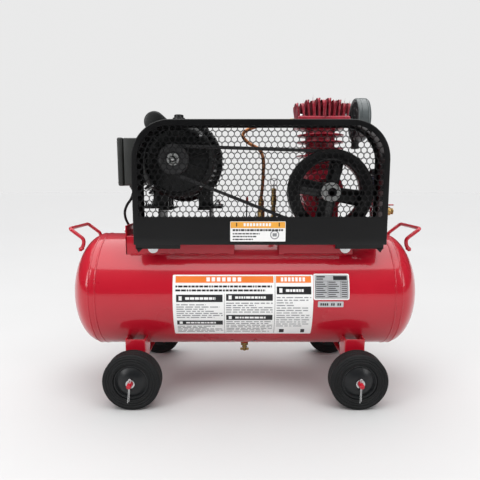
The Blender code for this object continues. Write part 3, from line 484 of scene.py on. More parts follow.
def tube(points, radius, sides=4, closed=False, swell=None):
    """A round rod or pipe along a line of points."""
    curve = bpy.data.curves.new("route", "CURVE")
    curve.dimensions = "3D"
    curve.bevel_depth = radius
    curve.bevel_resolution = sides
    curve.use_fill_caps = not closed
    spline = curve.splines.new("POLY")
    spline.points.add(len(points) - 1)
    spline.use_cyclic_u = closed
    for index, spot in enumerate(points):
        spline.points[index].co = (*spot, 1.0)
        if swell is not None:
            spline.points[index].radius = swell[index]
    holder = bpy.data.objects.new("route", curve)
    add_to_scene(holder)
    bpy.context.view_layer.update()
    seen = holder.evaluated_get(bpy.context.evaluated_depsgraph_get())
    form = bmesh.new()
    form.from_mesh(seen.to_mesh())
    seen.to_mesh_clear()
    bpy.data.objects.remove(holder, do_unlink=True)
    bpy.data.curves.remove(curve)
    bmesh.ops.remove_doubles(form, verts=form.verts, dist=0.000005)
    return form


def bead(points, radius, seed, closed=False):
    """A weld bead: a thin rod that swells and thins in even ripples."""
    chance = random.Random(seed)
    swell = [0.86 + 0.2 * math.sin(index * 2.1) + chance.uniform(-0.08, 0.08)
             for index in range(len(points))]
    return tube(points, radius, 2, closed, swell)


def turns(count, first=0.0):
    """Even angles round a circle, in radians; the first is given in degrees."""
    return [math.radians(first) + math.tau * index / count for index in range(count)]


def round_spot(centre, radius, turn):
    """A spot on a circle, across and up from its centre."""
    return centre[0] + radius * math.cos(turn), centre[1] + radius * math.sin(turn)


def arc(centre, radius, start, end, steps):
    """Points along an arc, in degrees."""
    return [round_spot(centre, radius, math.radians(start + (end - start) * step / steps))
            for step in range(steps + 1)]


def smooth_route(points, per_span):
    """Read points from a smooth curve through the route's own points."""
    ends = [Vector(points[0]) * 2 - Vector(points[1])]
    ends += [Vector(point) for point in points]
    ends.append(Vector(points[-1]) * 2 - Vector(points[-2]))
    route = []
    for a, b, c, d in zip(ends, ends[1:], ends[2:], ends[3:]):
        for step in range(per_span):
            t = step / per_span
            pull = 2 * b + (c - a) * t + (2 * a - 5 * b + 4 * c - d) * t * t
            route.append((pull + (3 * b - a - 3 * c + d) * t * t * t) / 2)
    route.append(ends[-2])
    return route


def fillet_route(points, radius, steps=8):
    """Round each inner corner of a run of straight rods."""
    spots = [Vector(point) for point in points]
    route = [spots[0]]
    for before, corner, after in zip(spots, spots[1:], spots[2:]):
        start = corner + (before - corner).normalized() * radius
        finish = corner + (after - corner).normalized() * radius
        for step in range(steps + 1):
            t = step / steps
            route.append(start * (1 - t) ** 2 + corner * 2 * t * (1 - t) + finish * t * t)
    route.append(spots[-1])
    return route


def bolt(where, across=0.01, head=0.0055, washer=0.0, thread=0.0):
    """A hexagon bolt head on a washer, standing on the place's XY plane; thread is a stud above it."""
    base = 0.0012 if washer > 0.0 else 0.0
    shapes = [nut(across, base, base + head, where, 0.0006)]
    if washer > 0.0:
        shapes.append(lathe([(washer, 0.0), (washer, base), (across * 0.4, base), (across * 0.4, 0.0)],
                            where, 28, True, 0.0002))
    if thread > 0.0:
        shapes.append(disc(across * 0.29, base + head, base + head + thread, where, 16, 0.0004))
    return together(shapes)


def keep(name, form, finish, body="frame", replaced=(), slot=None, sharp=38.0):
    """Make a shape, or several, a finished piece that rides on its body and stands for CAD nodes."""
    if isinstance(form, list):
        form = together(form)
    mesh = bpy.data.meshes.new(name)
    form.to_mesh(mesh)
    form.free()
    mesh.shade_smooth()
    mesh.set_sharp_from_angle(angle=math.radians(sharp))
    mesh.materials.append(FINISHES[finish])
    piece = bpy.data.objects.new(name, mesh)
    bpy.data.collections[COLLECTION].objects.link(piece)
    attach(piece, body)
    if replaced:
        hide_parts(*replaced)
    slot = slot or SLOTS.get(finish)
    return piece


def refinish(node_name, finish):
    """Give a CAD node that stays in view one of the finishes."""
    item = frame["nodes"][node_name]
    item.data.materials.clear()
    item.data.materials.append(FINISHES[finish])


# ---- stage

def build_stage(stage):
    """Camera, floor, backdrop colour and lights."""
    camera = bpy.data.objects.new("Camera", bpy.data.cameras.new("Camera"))
    camera.data.lens = stage.lens
    camera.data.sensor_width = 36.0
    camera.data.clip_start = 0.01
    camera.location = stage.eye
    camera.rotation_euler = (math.pi / 2 - stage.tilt, 0.0, 0.0)
    add_to_scene(camera)
    bpy.context.scene.camera = camera

    form = bmesh.new()
    bmesh.ops.create_circle(form, cap_ends=True, segments=96, radius=FLOOR_RADIUS)
    bmesh.ops.translate(form, verts=form.verts, vec=(0.0, 0.0, -FLOOR_GAP))
    mesh = bpy.data.meshes.new("floor")
    form.to_mesh(mesh)
    form.free()
    floor = bpy.data.objects.new("floor", mesh)
    add_to_scene(floor)
    mesh.materials.append(material("floor_paint", tuple(stage.floor), 0.75, spread=0.01, patch=2.0,
                                   grain=60.0, specular=0.2))

    softbox("left_panel", (-2.4, -1.9, 1.6), (math.radians(62), 0.0, math.radians(-52)), (1.0, 1.8), 34.0)
    softbox("right_panel", (2.4, -1.9, 1.6), (math.radians(62), 0.0, math.radians(52)), (1.0, 1.8), 24.0)

    world = bpy.data.worlds.new("studio")
    bpy.context.scene.world = world
    world.use_nodes = True
    tree = world.node_tree
    where = node(tree, "ShaderNodeTexCoord")
    height = node(tree, "ShaderNodeSeparateXYZ", Vector=where.outputs["Generated"]).outputs["Z"]
    edge = math.sin(stage.ceiling_edge)
    overhead = ranged(tree, height, 0.0, 1.0, edge - 0.02, edge + 0.02)
    walls = ranged(tree, height, 0.0, 1.0, -0.05, 0.55)
    tint = blended(tree, walls, (0.04, 0.04, 0.042), (0.17, 0.17, 0.18))
    tint = blended(tree, overhead, tint, (stage.ceiling, stage.ceiling, stage.ceiling))
    room = tree.nodes["Background"]
    tree.links.new(tint, room.inputs["Color"])
    seen = node(tree, "ShaderNodeBackground", Color=(0.82, 0.82, 0.82, 1.0), Strength=1.0)
    path = node(tree, "ShaderNodeLightPath")
    choice = node(tree, "ShaderNodeMixShader", Fac=path.outputs["Is Camera Ray"])
    tree.links.new(room.outputs["Background"], choice.inputs[1])
    tree.links.new(seen.outputs["Background"], choice.inputs[2])
    tree.links.new(choice.outputs["Shader"], tree.nodes["World Output"].inputs["Surface"])
    bpy.context.scene.view_settings.view_transform = "Standard"


def softbox(name, location, rotation, size, power):
    light = bpy.data.lights.new(name, "AREA")
    light.shape = "RECTANGLE"
    light.size, light.size_y = size
    light.energy = power
    lamp = bpy.data.objects.new(name, light)
    lamp.location = location
    lamp.rotation_euler = rotation
    add_to_scene(lamp)


# ---- tank

def shell_top(tank, y, lift=0.0):
    """Height of the tank's upper surface at a distance y from its middle plane."""
    return tank.axis_height + math.sqrt((tank.radius + lift) ** 2 - y ** 2)


def bung_places():
    """Where the welded bungs stand on top of the tank, read from the fittings in them."""
    spots = [middle("check_valve"), middle("safety_valve"), middle("air_riser"),
             joint_place("pressure_lever_tilt")]
    return [(spot.x, spot.y) for spot in spots]


def girth_bead(tank, x, radius, seed):
    """A weld bead once round the tank."""
    chance = random.Random(seed)
    form = bmesh.new()
    bmesh.ops.create_circle(form, segments=10, radius=1.0)
    bmesh.ops.scale(form, vec=(0.0011, tank.bead, 1.0), verts=form.verts)
    bmesh.ops.rotate(form, matrix=Matrix.Rotation(math.pi / 2, 3, "X"), verts=form.verts)
    bmesh.ops.translate(form, verts=form.verts, vec=(radius, 0.0, 0.0))
    steps = 300
    full_spin(form, list(form.verts) + list(form.edges), steps)
    for vert in form.verts:
        turn = math.atan2(vert.co.y, vert.co.x) * steps / math.tau
        ripple = 1.0 + 0.0012 * math.sin(turn * 2.1) + chance.uniform(-0.0004, 0.0004)
        vert.co.x *= ripple
        vert.co.y *= ripple
    bmesh.ops.recalc_face_normals(form, faces=form.faces)
    form.transform(at((x, 0.0, tank.axis_height), "X"))
    return form


def saddle(tank, x, y, reach, steps=36):
    """Points round a pipe of that reach where it meets the barrel."""
    spots = [round_spot((x, y), reach, turn) for turn in turns(steps)]
    return [(across, side, shell_top(tank, side)) for across, side in spots]


def bung(low, high, where):
    """A welded ring that a fitting screws into."""
    return lathe([(BUNG_RADIUS, high), (BUNG_RADIUS, low), (BUNG_BORE, low), (BUNG_BORE, high)], where, 40,
                 True, 0.0008)


def build_tank(tank):
    centre = (0.0, 0.0, tank.axis_height)
    barrel = tank.barrel_half
    inner = tank.radius - tank.wall
    keep("tank_shell", lathe([(tank.radius, barrel), (tank.radius, -barrel), (inner, -barrel),
                              (inner, barrel)], at(centre, "X"), 160, True),
         "enamel", replaced=("tank_barrel",))
    flange = barrel + 0.009
    depth = tank.half_length - flange
    steps = 22
    for side, turn in (("left", "-X"), ("right", "X")):
        outside = []
        inside = []
        for step in range(steps + 1):
            angle = math.radians(90 * (1 - step / steps))
            outside.append((tank.radius * math.cos(angle), flange + depth * math.sin(angle)))
            inside.append((inner * math.cos(angle), flange + (depth - tank.wall) * math.sin(angle)))
        outside[0] = (0.0, outside[0][1])
        inside[0] = (0.0, inside[0][1])
        rim = barrel + 0.0003
        profile = outside + [(tank.radius, rim), (inner, rim)] + inside[::-1]
        keep("tank_end_" + side, lathe(profile, at(centre, turn), 160), "enamel",
             replaced=("tank_head_" + side,))
    outer = barrel + 0.016
    outer_radius = tank.radius * math.sqrt(1 - ((outer - flange) / depth) ** 2)
    keep("girth_welds", together(girth_bead(tank, sign * x, radius, index)
                                 for index, (x, radius) in enumerate(
                                     ((barrel, tank.radius), (outer, outer_radius)))
                                 for sign in (-1, 1)), "enamel")
    shapes = []
    for index, (x, y) in enumerate(bung_places()):
        seat = shell_top(tank, y)
        shapes.append(bung(seat - 0.01, seat + BUNG_TOP, at((x, y, 0.0))))
        shapes.append(bead(saddle(tank, x, y, 0.0148), 0.0018, 20 + index, True))
    low = low_corner("tank_barrel").z
    shapes.append(bung(low, low + 0.014, UNMOVED))
    drain_ring = [(x, y, 2 * tank.axis_height - z) for x, y, z in saddle(tank, 0.0, 0.0, 0.0148)]
    shapes.append(bead(drain_ring, 0.0018, 30, True))
    keep("tank_bungs", shapes, "enamel")


def build_handles(tank):
    for side, sign in (("left", -1), ("right", 1)):
        node_name = "handle_" + side
        low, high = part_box(node_name)
        radius = tank.handle_radius
        grip_x = (abs(low.x) if sign < 0 else high.x) - radius
        grip_y = high.y - radius
        grip_z = high.z - radius
        half = [Vector((0.4285 * sign, grip_y, 0.3745)), Vector((0.4195 * sign, grip_y, 0.3805)),
                Vector((0.4165 * sign, grip_y, 0.401)), Vector((grip_x * sign, grip_y, grip_z))]
        other = [Vector((spot.x, -spot.y, spot.z)) for spot in reversed(half)]
        route = fillet_route(half + other, 0.0085, 10)
        shapes = [tube(route, radius, 6)]
        for y in (-grip_y, grip_y):
            for spot, size in (((0.4235, 0.3765), (0.0062, 0.0068, 0.0042)),
                               ((0.4265, 0.3735), (0.005, 0.006, 0.004))):
                blob = bmesh.new()
                bmesh.ops.create_uvsphere(blob, u_segments=20, v_segments=12, radius=1.0)
                bmesh.ops.scale(blob, vec=size, verts=blob.verts)
                blob.transform(Matrix.Translation((spot[0] * sign, y, spot[1])))
                shapes.append(blob)
        keep("lift_handle_" + side, shapes, "enamel", replaced=(node_name,),
             sharp=50.0)


def build_legs(tank):
    """Folded channels; the sloped edge and the seat on the tank are cut with planes."""
    for end, sign in (("front", -1), ("rear", 1)):
        for side in ("left", "right"):
            node_name = "leg_%s_%s" % (end, side)
            low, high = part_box(node_name)
            face = abs(low.y) if sign < 0 else high.y
            inner = abs(high.y) if sign < 0 else low.y
            sheet = tank.leg_sheet
            half = (high.x - low.x) / 2
            x = (low.x + high.x) / 2
            outline = [(-half, -inner), (-half, -face), (half, -face), (half, -inner),
                       (half - sheet, -inner), (half - sheet, -face + sheet),
                       (-half + sheet, -face + sheet), (-half + sheet, -inner)]
            form = prism(outline, low.z, high.z, UNMOVED)
            folds = [edge for edge in form.edges
                     if abs(edge.verts[0].co.z - edge.verts[1].co.z) > 0.05
                     and edge.verts[0].co.y < -face + sheet * 1.5]
            round_off(form, folds, 0.0028)
            slope = Vector((0.0, 0.09, -0.046)).normalized()
            seat = Vector((0.0, 0.0285, 0.0345)).normalized()
            for spot, normal in (((0.0, -face + 0.02, low.z), slope), ((0.0, -0.1115, 0.158), seat)):
                cut = bmesh.ops.bisect_plane(form, geom=whole(form), plane_co=spot, plane_no=normal,
                                             clear_outer=True)
                rims = [item for item in cut["geom_cut"] if isinstance(item, bmesh.types.BMEdge)]
                bmesh.ops.holes_fill(form, edges=rims, sides=0)
            bmesh.ops.recalc_face_normals(form, faces=form.faces)
            soften(form, 0.0005, 1, 60.0)
            if sign > 0:
                form.transform(Matrix.Rotation(math.pi, 4, "Z"))
            form.transform(Matrix.Translation((x, 0.0, 0.0)))
            seam = []
            for edge_x in (x - half - 0.0006, x + half + 0.0006):
                run = [0.1115 - 0.033 * step / 14 for step in range(15)]
                line = [(edge_x, y * sign, 2 * tank.axis_height - shell_top(tank, y)) for y in run]
                seam.append(bead(line, 0.0019, int(1000 * edge_x) + 7))
            keep("leg_channel_%s_%s" % (end, side), join(form, *seam), "enamel", replaced=(node_name,))


# ---- wheels

def build_wheels(wheel):
    rib = 0.0011
    half = wheel.tyre_half
    radius = wheel.tyre_radius
    seat = wheel.hub_radius + 0.0003
    side = [(seat, half - 0.002), (seat + 0.002, half - 0.0006)]
    for middle_of_rib in (0.05, 0.056, 0.062):
        side += [(middle_of_rib - 0.0022, half - rib), (middle_of_rib - 0.001, half),
                 (middle_of_rib + 0.001, half), (middle_of_rib + 0.0022, half - rib)]
    shoulder = [(x, y) for y, x in arc((half - 0.0058, radius - 0.0052), 0.0052, 15, 78, 6)]
    tread = [(radius, half - 0.0062), (radius, 0.007), (radius - 0.0012, 0.006), (radius - 0.0012, 0.0044),
             (radius, 0.0034)]
    upper = side + shoulder + tread
    profile = upper + [(spot_radius, -height) for spot_radius, height in reversed(upper)]
    bore = wheel.axle_radius + 0.0003
    dome = [(bore, 0.0232), (0.009, 0.0235), (0.0125, 0.0231)]
    dome += [(0.0125 + 0.0225 * step / 8, 0.0231 - 0.009 * (step / 8) ** 1.7) for step in range(1, 9)]
    dome += [(0.0368, 0.0128), (0.0376, 0.0128), (0.0392, 0.015), (0.0418, 0.0156),
             (wheel.hub_radius, 0.0146)]
    hub_profile = dome + [(wheel.hub_radius, -0.016), (0.018, -0.016), (bore, -0.018)]
    for end, sign in (("front", -1), ("rear", 1)):
        for flank in ("left", "right"):
            label = "%s_%s" % (end, flank)
            body = "wheel_" + label
            where = at(middle("tyre_" + label), "Y" if sign > 0 else "-Y")
            keep("tyre_ribbed_" + label, lathe(profile, where, 112, True), "rubber", body,
                 ("tyre_" + label,), "tyre_rubber")
            keep("hub_domed_" + label, lathe(hub_profile, where, 88, True), "plastic", body,
                 ("hub_" + label,))
    for flank in ("left", "right"):
        centre = middle("axle_" + flank)
        axle = disc(wheel.axle_radius, -wheel.axle_half, wheel.axle_half, at(centre, "Y"), 32, 0.0016)
        keep("axle_rod_" + flank, axle, "enamel", replaced=("axle_" + flank,))
        pins = []
        washers = []
        for sign in (-1, 1):
            y = sign * 0.2055
            lean = 0.1 if flank == "left" else 0.01
            wire = wheel.pin_wire
            loop = arc((0.0, 0.0122), 0.0032, 235, -55, 12)
            legs = [(-0.0012, -0.044), (-0.0011, 0.0), (-0.0011, 0.006)]
            legs += loop + [(0.0011, 0.006), (0.0011, 0.0), (0.0015, -0.04)]
            turn = Matrix.Translation((centre.x, y, centre.z)) @ Matrix.Rotation(lean, 4, "Y")
            pins.append(tube([turn @ Vector((across, 0.0, up)) for across, up in legs], wire, 3))
            washers.append(lathe([(0.0108, 0.001), (0.0108, -0.0002), (0.0063, -0.0002), (0.0063, 0.001)],
                                 at((centre.x, sign * 0.1984, centre.z), "Y" if sign > 0 else "-Y"),
                                 36, True, 0.0002))
        keep("split_pins_" + flank, pins, "zinc")
        keep("axle_washers_" + flank, washers, "zinc")


def build_drain():
    face = low_corner("tank_barrel").z
    here = UNMOVED
    body = [nut(0.02, face - 0.0095, face - 0.0015, here, 0.0007),
            disc(0.009, face - 0.002, face + 0.012, here, 32),
            lathe([(0.0, face - 0.0085), (0.0085, face - 0.009), (0.0062, face - 0.0112),
                   (0.0062, face - 0.015), (0.007, face - 0.0155), (0.007, face - 0.0168),
                   (0.0, face - 0.017)], here, 36)]
    keep("drain_cock_body", body, "brass", replaced=("drain_cock",))
    low = face - 0.027
    wing = [disc(0.004, low, face - 0.0173, here, 24)]
    for sign in (-1, 1):
        ear = [(0.003 * sign, low + 0.0012)]
        ear += [(sign * u, v) for u, v in arc((0.0088, low + 0.0045), 0.0038, -110, 110, 10)]
        ear.append((0.003 * sign, low + 0.0066))
        wing.append(prism(ear, -0.0011, 0.0011, at((0.0, 0.0, 0.0), "-Y"), 0.0004))
    keep("drain_thumb_wing", wing, "brass", "drain_handle", ("drain_wing",))


# ---- bases

def build_bases(tank):
    """Folded base plates with rounded bends, bolt heads and stitch welds to the tank."""
    sheet = 0.003
    for name, upright in (("motor_base", True), ("pump_base", False)):
        low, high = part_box(name)
        top = 0.4145
        half = high.y
        foot = shell_top(tank, half) + 0.0002
        outline = [(-half, foot), (-half, top), (half, top), (half, foot), (half - sheet, foot),
                   (half - sheet, top - sheet), (-half + sheet, top - sheet), (-half + sheet, foot)]
        form = prism(outline, low.x, high.x, FACE_X)
        folds = [edge for edge in form.edges
                 if abs(edge.verts[0].co.x - edge.verts[1].co.x) > 0.1
                 and edge.verts[0].co.z > top - sheet * 1.2]
        round_off(form, folds, 0.003)
        soften(form, 0.0004, 1, 60.0)
        shapes = [form]
        if upright:
            shapes.append(upright_plate(tank, low.x, sheet, half, high.z))
        for sign in (-1, 1):
            for index in range(7):
                start = low.x + 0.012 + (high.x - low.x - 0.05) * index / 6
                line = [(start + 0.003 * step, sign * (half + 0.0006), foot + 0.0006) for step in range(9)]
                shapes.append(bead(line, 0.0022, index + 40))
        keep(name + "_plate", shapes, "enamel", replaced=(name,))
    low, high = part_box("motor_base")
    heads = [bolt(at((low.x, y, 0.427), "-X"), 0.009, 0.0045, 0.0085) for y in (-0.088, 0.088)]
    keep("bracket_bolts", heads, "zinc")


def upright_plate(tank, x, sheet, half, top):
    """The upturned end of the motor's base plate, its lower edge curved to sit on the tank."""
    outline = [(-half, top), (half, top)]
    run = [half - 2 * half * step / 16 for step in range(17)]
    outline += [(y, shell_top(tank, y) + 0.0003) for y in run]
    return prism(outline[::-1], x, x + sheet, FACE_X, 0.0005)


# ---- motor

# Each of the motor's feet along X, from near to far.
FEET = (("left", -0.281, -0.206), ("right", -0.124, -0.061))


def finned_outline(centre, root, tip, count, skip):
    """A round outline with square teeth, leaving out the teeth whose angle is in a skipped span."""
    outline = []
    for index in range(count):
        start = 360 * index / count
        blank = any(first <= start <= last for first, last in skip)
        reach = root if blank else tip
        for share, radius in ((0.0, root), (0.56, root), (0.6, reach), (0.94, reach)):
            outline.append(round_spot(centre, radius, math.radians(start + 360 / count * share)))
    return outline


def build_motor(motor):
    low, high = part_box("motor_housing")
    hub = middle("motor_pulley")
    centre = (hub.x, hub.z)
    front = low.y
    back = 0.126
    skip = ((54, 126), (158, 202), (232, 308))
    body = prism(finned_outline(centre, motor.body_radius, motor.fin_radius, motor.fin_count, skip),
                 -back + 0.008, -front - 0.01, at((0.0, 0.0, 0.0), "-Y"))
    soften(body, 0.0006, 1, 50.0)
    axis = (hub.x, 0.0, hub.z)
    shapes = [body, disc(motor.body_radius, front, back, at(axis, "Y"), 96, 0.0015),
              disc(0.1115, back - 0.014, back - 0.002, at(axis, "Y"), 96, 0.0015)]
    foot_low = low.z
    for side, near, far in FEET:
        shapes.append(box((near, -0.022, foot_low), (far, 0.095, foot_low + 0.007), 0.0016))
        inner = (near + 0.035, far) if side == "left" else (near, far - 0.03)
        for y in (-0.01, 0.0335, 0.077):
            shapes.append(box((inner[0], y, foot_low + 0.004),
                              (inner[1], y + 0.008, hub.z - 0.055), 0.0012))
        shapes.append(box((inner[0] + 0.004, -0.008, foot_low + 0.004),
                          (inner[1] - 0.004, 0.083, hub.z - 0.06), 0.0012))
    shapes.append(disc(0.0125, hub.z + 0.094, high.z, at((hub.x, 0.01, 0.0)), 40, 0.0022))
    shapes.append(lathe([(0.0165, hub.z + 0.115), (0.0165, hub.z + 0.094), (0.01, hub.z + 0.094),
                         (0.01, hub.z + 0.115)], at((hub.x, 0.01, 0.0)), 40, True, 0.001))
    keep("motor_finned_body", shapes, "motor_black", replaced=("motor_housing",))
    build_motor_ends(motor, axis, front, back)
    build_motor_fittings(hub, foot_low)


def build_motor_ends(motor, axis, front, back):
    face = front - 0.0003
    ring = motor.ring_radius
    shield = [(0.097, face), (0.097, face - 0.012), (0.0955, face - 0.014), (0.086, face - 0.0175),
              (0.0838, face - 0.018), (ring + 0.0012, face - 0.017), (ring, face - 0.013),
              (0.05, face - 0.015), (0.034, face - 0.0175), (0.0315, face - 0.0245),
              (0.0295, face - 0.026), (0.0098, face - 0.026), (0.0098, face - 0.008),
              (0.07, face - 0.004), (0.08, face)]
    shapes = [lathe(shield, at(axis, "Y"), 120, True)]
    for index in range(motor.rib_count):
        turn = Matrix.Rotation(math.tau * (index + 0.5) / motor.rib_count, 4, "Y")
        rib = prism([(0.03, -0.012), (0.03, -0.0235), (0.046, -0.0185), (0.07, -0.0172),
                     (0.08, -0.0172), (0.08, -0.012)], -0.0014, 0.0014, UNMOVED, 0.0005)
        rib.transform(Matrix.Translation((axis[0], face, axis[2])) @ turn)
        shapes.append(rib)
    keep("motor_front_cover", shapes, "motor_black", replaced=("motor_front_shield",))
    screws = []
    for turn in turns(4, 45):
        across, up = round_spot((axis[0], axis[2]), 0.09, turn)
        screws.append(bolt(at((across, face - 0.016, up), "-Y"), 0.008, 0.004))
    keep("motor_tie_bolts", screws, "zinc")
    trim = lathe([(ring + 0.0034, 0.0), (ring + 0.0034, 0.0011), (ring + 0.0012, 0.0011),
                  (ring + 0.0012, 0.0)], at((axis[0], face - 0.0172, axis[2]), "-Y"), 120, True, 0.0003)
    keep("motor_cover_ring", trim, "guard_black")
    rear = back + 0.0003
    shield = [(0.097, rear + 0.016), (0.097, rear), (0.0098, rear), (0.0098, rear + 0.016)]
    keep("motor_back_cover", lathe(shield, at(axis, "Y"), 96, True, 0.0015), "motor_black",
         replaced=("motor_rear_shield",))
    keep("motor_cowl", cowl(axis, rear), "motor_black", replaced=("motor_fan_cowl",))


def cowl(axis, rear):
    """Pressed fan cowl: a skirt, a rounded shoulder and a back face with rings of air slots."""
    steps = 96
    shoulder = [(x, y) for y, x in arc((rear + 0.0463, 0.0837), 0.0137, 90, 0, 8)]
    rings = [(0.0974, rear + 0.0163)] + shoulder[1:]
    face = rear + 0.06
    rings += [(radius, face) for radius in (0.076, 0.064, 0.06, 0.048, 0.044, 0.032, 0.028, 0.016)]
    rings.append((0.0, face))
    form = lathe(rings, UNMOVED, steps)
    slots = []
    for part in form.faces:
        spot = part.calc_center_median()
        radius = math.hypot(spot.x, spot.y)
        sector = int((math.atan2(spot.y, spot.x) % math.tau) / math.tau * steps)
        in_band = any(low < radius < low + 0.012 for low in (0.064, 0.048, 0.032, 0.016))
        if in_band and abs(spot.z - face) < 0.0001 and sector % 4 != 0:
            slots.append(part)
    bmesh.ops.delete(form, geom=slots, context="FACES")
    bmesh.ops.recalc_face_normals(form, faces=form.faces)
    bmesh.ops.solidify(form, geom=list(form.faces), thickness=0.0012)
    bmesh.ops.recalc_face_normals(form, faces=form.faces)
    form.transform(at((axis[0], 0.0, axis[2]), "Y"))
    return form


def build_motor_fittings(hub, foot_low):
    low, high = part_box("capacitor_cover")
    profile = [(0.0, high.y), (0.0215, high.y), (0.0255, high.y - 0.002), (0.0275, high.y - 0.0065),
               (0.0275, low.y + 0.0065), (0.0255, low.y + 0.002), (0.0215, low.y), (0.0, low.y)]
    saddle_block = box((-0.248, 0.006, 0.669), (-0.218, 0.093, 0.698), 0.003)
    can = lathe(profile, at((-0.238, 0.0, 0.7055), "Y"), 72)
    keep("capacitor_can", join(can, saddle_block), "motor_black", replaced=("capacitor_cover",))
    heads = [bolt(at((-0.218 + 0.0195, y, 0.703)), 0.007, 0.0035) for y in (0.02, 0.08)]
    low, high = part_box("switch_box")
    case = box((low.x + 0.016, low.y, 0.54), (high.x, high.y, high.z - 0.001), 0.0035, segments=3)
    lid = box((low.x, low.y - 0.0012, 0.538), (low.x + 0.015, high.y + 0.0012, high.z), 0.0045,
              segments=4)
    gland = [nut(0.0165, 0.5335, 0.54, at((-0.302, 0.0, 0.0))),
             lathe([(0.0068, 0.534), (0.0062, 0.53), (0.0048, 0.528), (0.0036, 0.5278), (0.0036, 0.534)],
                   at((-0.302, 0.0, 0.0)), 32, True)]
    keep("switch_box_case", join(case, lid, *gland), "grey", replaced=("switch_box",))
    for y in (low.y + 0.008, high.y - 0.008):
        for z in (0.548, high.z - 0.01):
            heads.append(disc(0.0028, 0.0, 0.0016, at((low.x - 0.0002, y, z), "-X"), 20, 0.0005))
    for side, near, far in FEET:
        x = near + 0.016 if side == "left" else far - 0.014
        for y in (-0.008, 0.08):
            heads.append(bolt(at((x, y, foot_low + 0.007)), 0.012, 0.007, 0.0105, 0.006))
    keep("motor_screws", heads, "zinc")
    for side in ("left", "right"):
        name = "motor_riser_" + side
        low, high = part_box(name)
        sheet = 0.0035
        outline = [(low.x, low.z), (high.x, low.z), (high.x, low.z + sheet), (low.x + sheet, low.z + sheet),
                   (low.x + sheet, high.z - sheet), (high.x, high.z - sheet), (high.x, high.z),
                   (low.x, high.z)]
        if side == "right":
            outline = [(low.x + high.x - x, z) for x, z in reversed(outline)]
        keep("motor_rail_" + side, prism(outline, -high.y, -low.y, at((0, 0, 0), "-Y"), 0.0008), "grey",
             replaced=(name,))
    groove = 0.0282
    rim = 0.0377
    pulley = [(rim, 0.0105), (rim, 0.0068), (groove, 0.0045), (groove, -0.0045), (rim, -0.0068),
              (rim, -0.0105), (0.034, -0.0105), (0.031, -0.008), (0.019, -0.008), (0.017, -0.0105),
              (0.0098, -0.0105), (0.0098, 0.0105)]
    keep("motor_belt_pulley", lathe(pulley, at(hub, "Y"), 80, True, 0.0005), "iron", "motor_shaft",
         ("motor_pulley",))
    tip = low_corner("motor_rotor").y
    nose = [disc(0.0094, tip, tip + 0.02, at((hub.x, 0.0, hub.z), "Y"), 36, 0.0012),
            lathe([(0.015, 0.0), (0.015, 0.0016), (0.0098, 0.0016), (0.0098, 0.0)],
                  at((hub.x, tip + 0.0058, hub.z), "-Y"), 40, True, 0.0004),
            bolt(at((hub.x, tip + 0.0005, hub.z), "-Y"), 0.009, 0.004)]
    keep("motor_shaft_nose", nose, "machined", "motor_shaft")


# ---- pump

def bored_block(centre, half, bore, low, high, edge):
    """A square block with a round hole through it from bottom to top."""
    form = lathe([(half, low), (half, high), (bore, high), (bore, low)], UNMOVED, 48, True)
    for vert in form.verts:
        if vert.co.xy.length > (half + bore) / 2:
            vert.co.xy *= half / max(abs(vert.co.x), abs(vert.co.y))
    form.normal_update()
    form.transform(at((*centre, 0.0)))
    return soften(form, edge, 3)


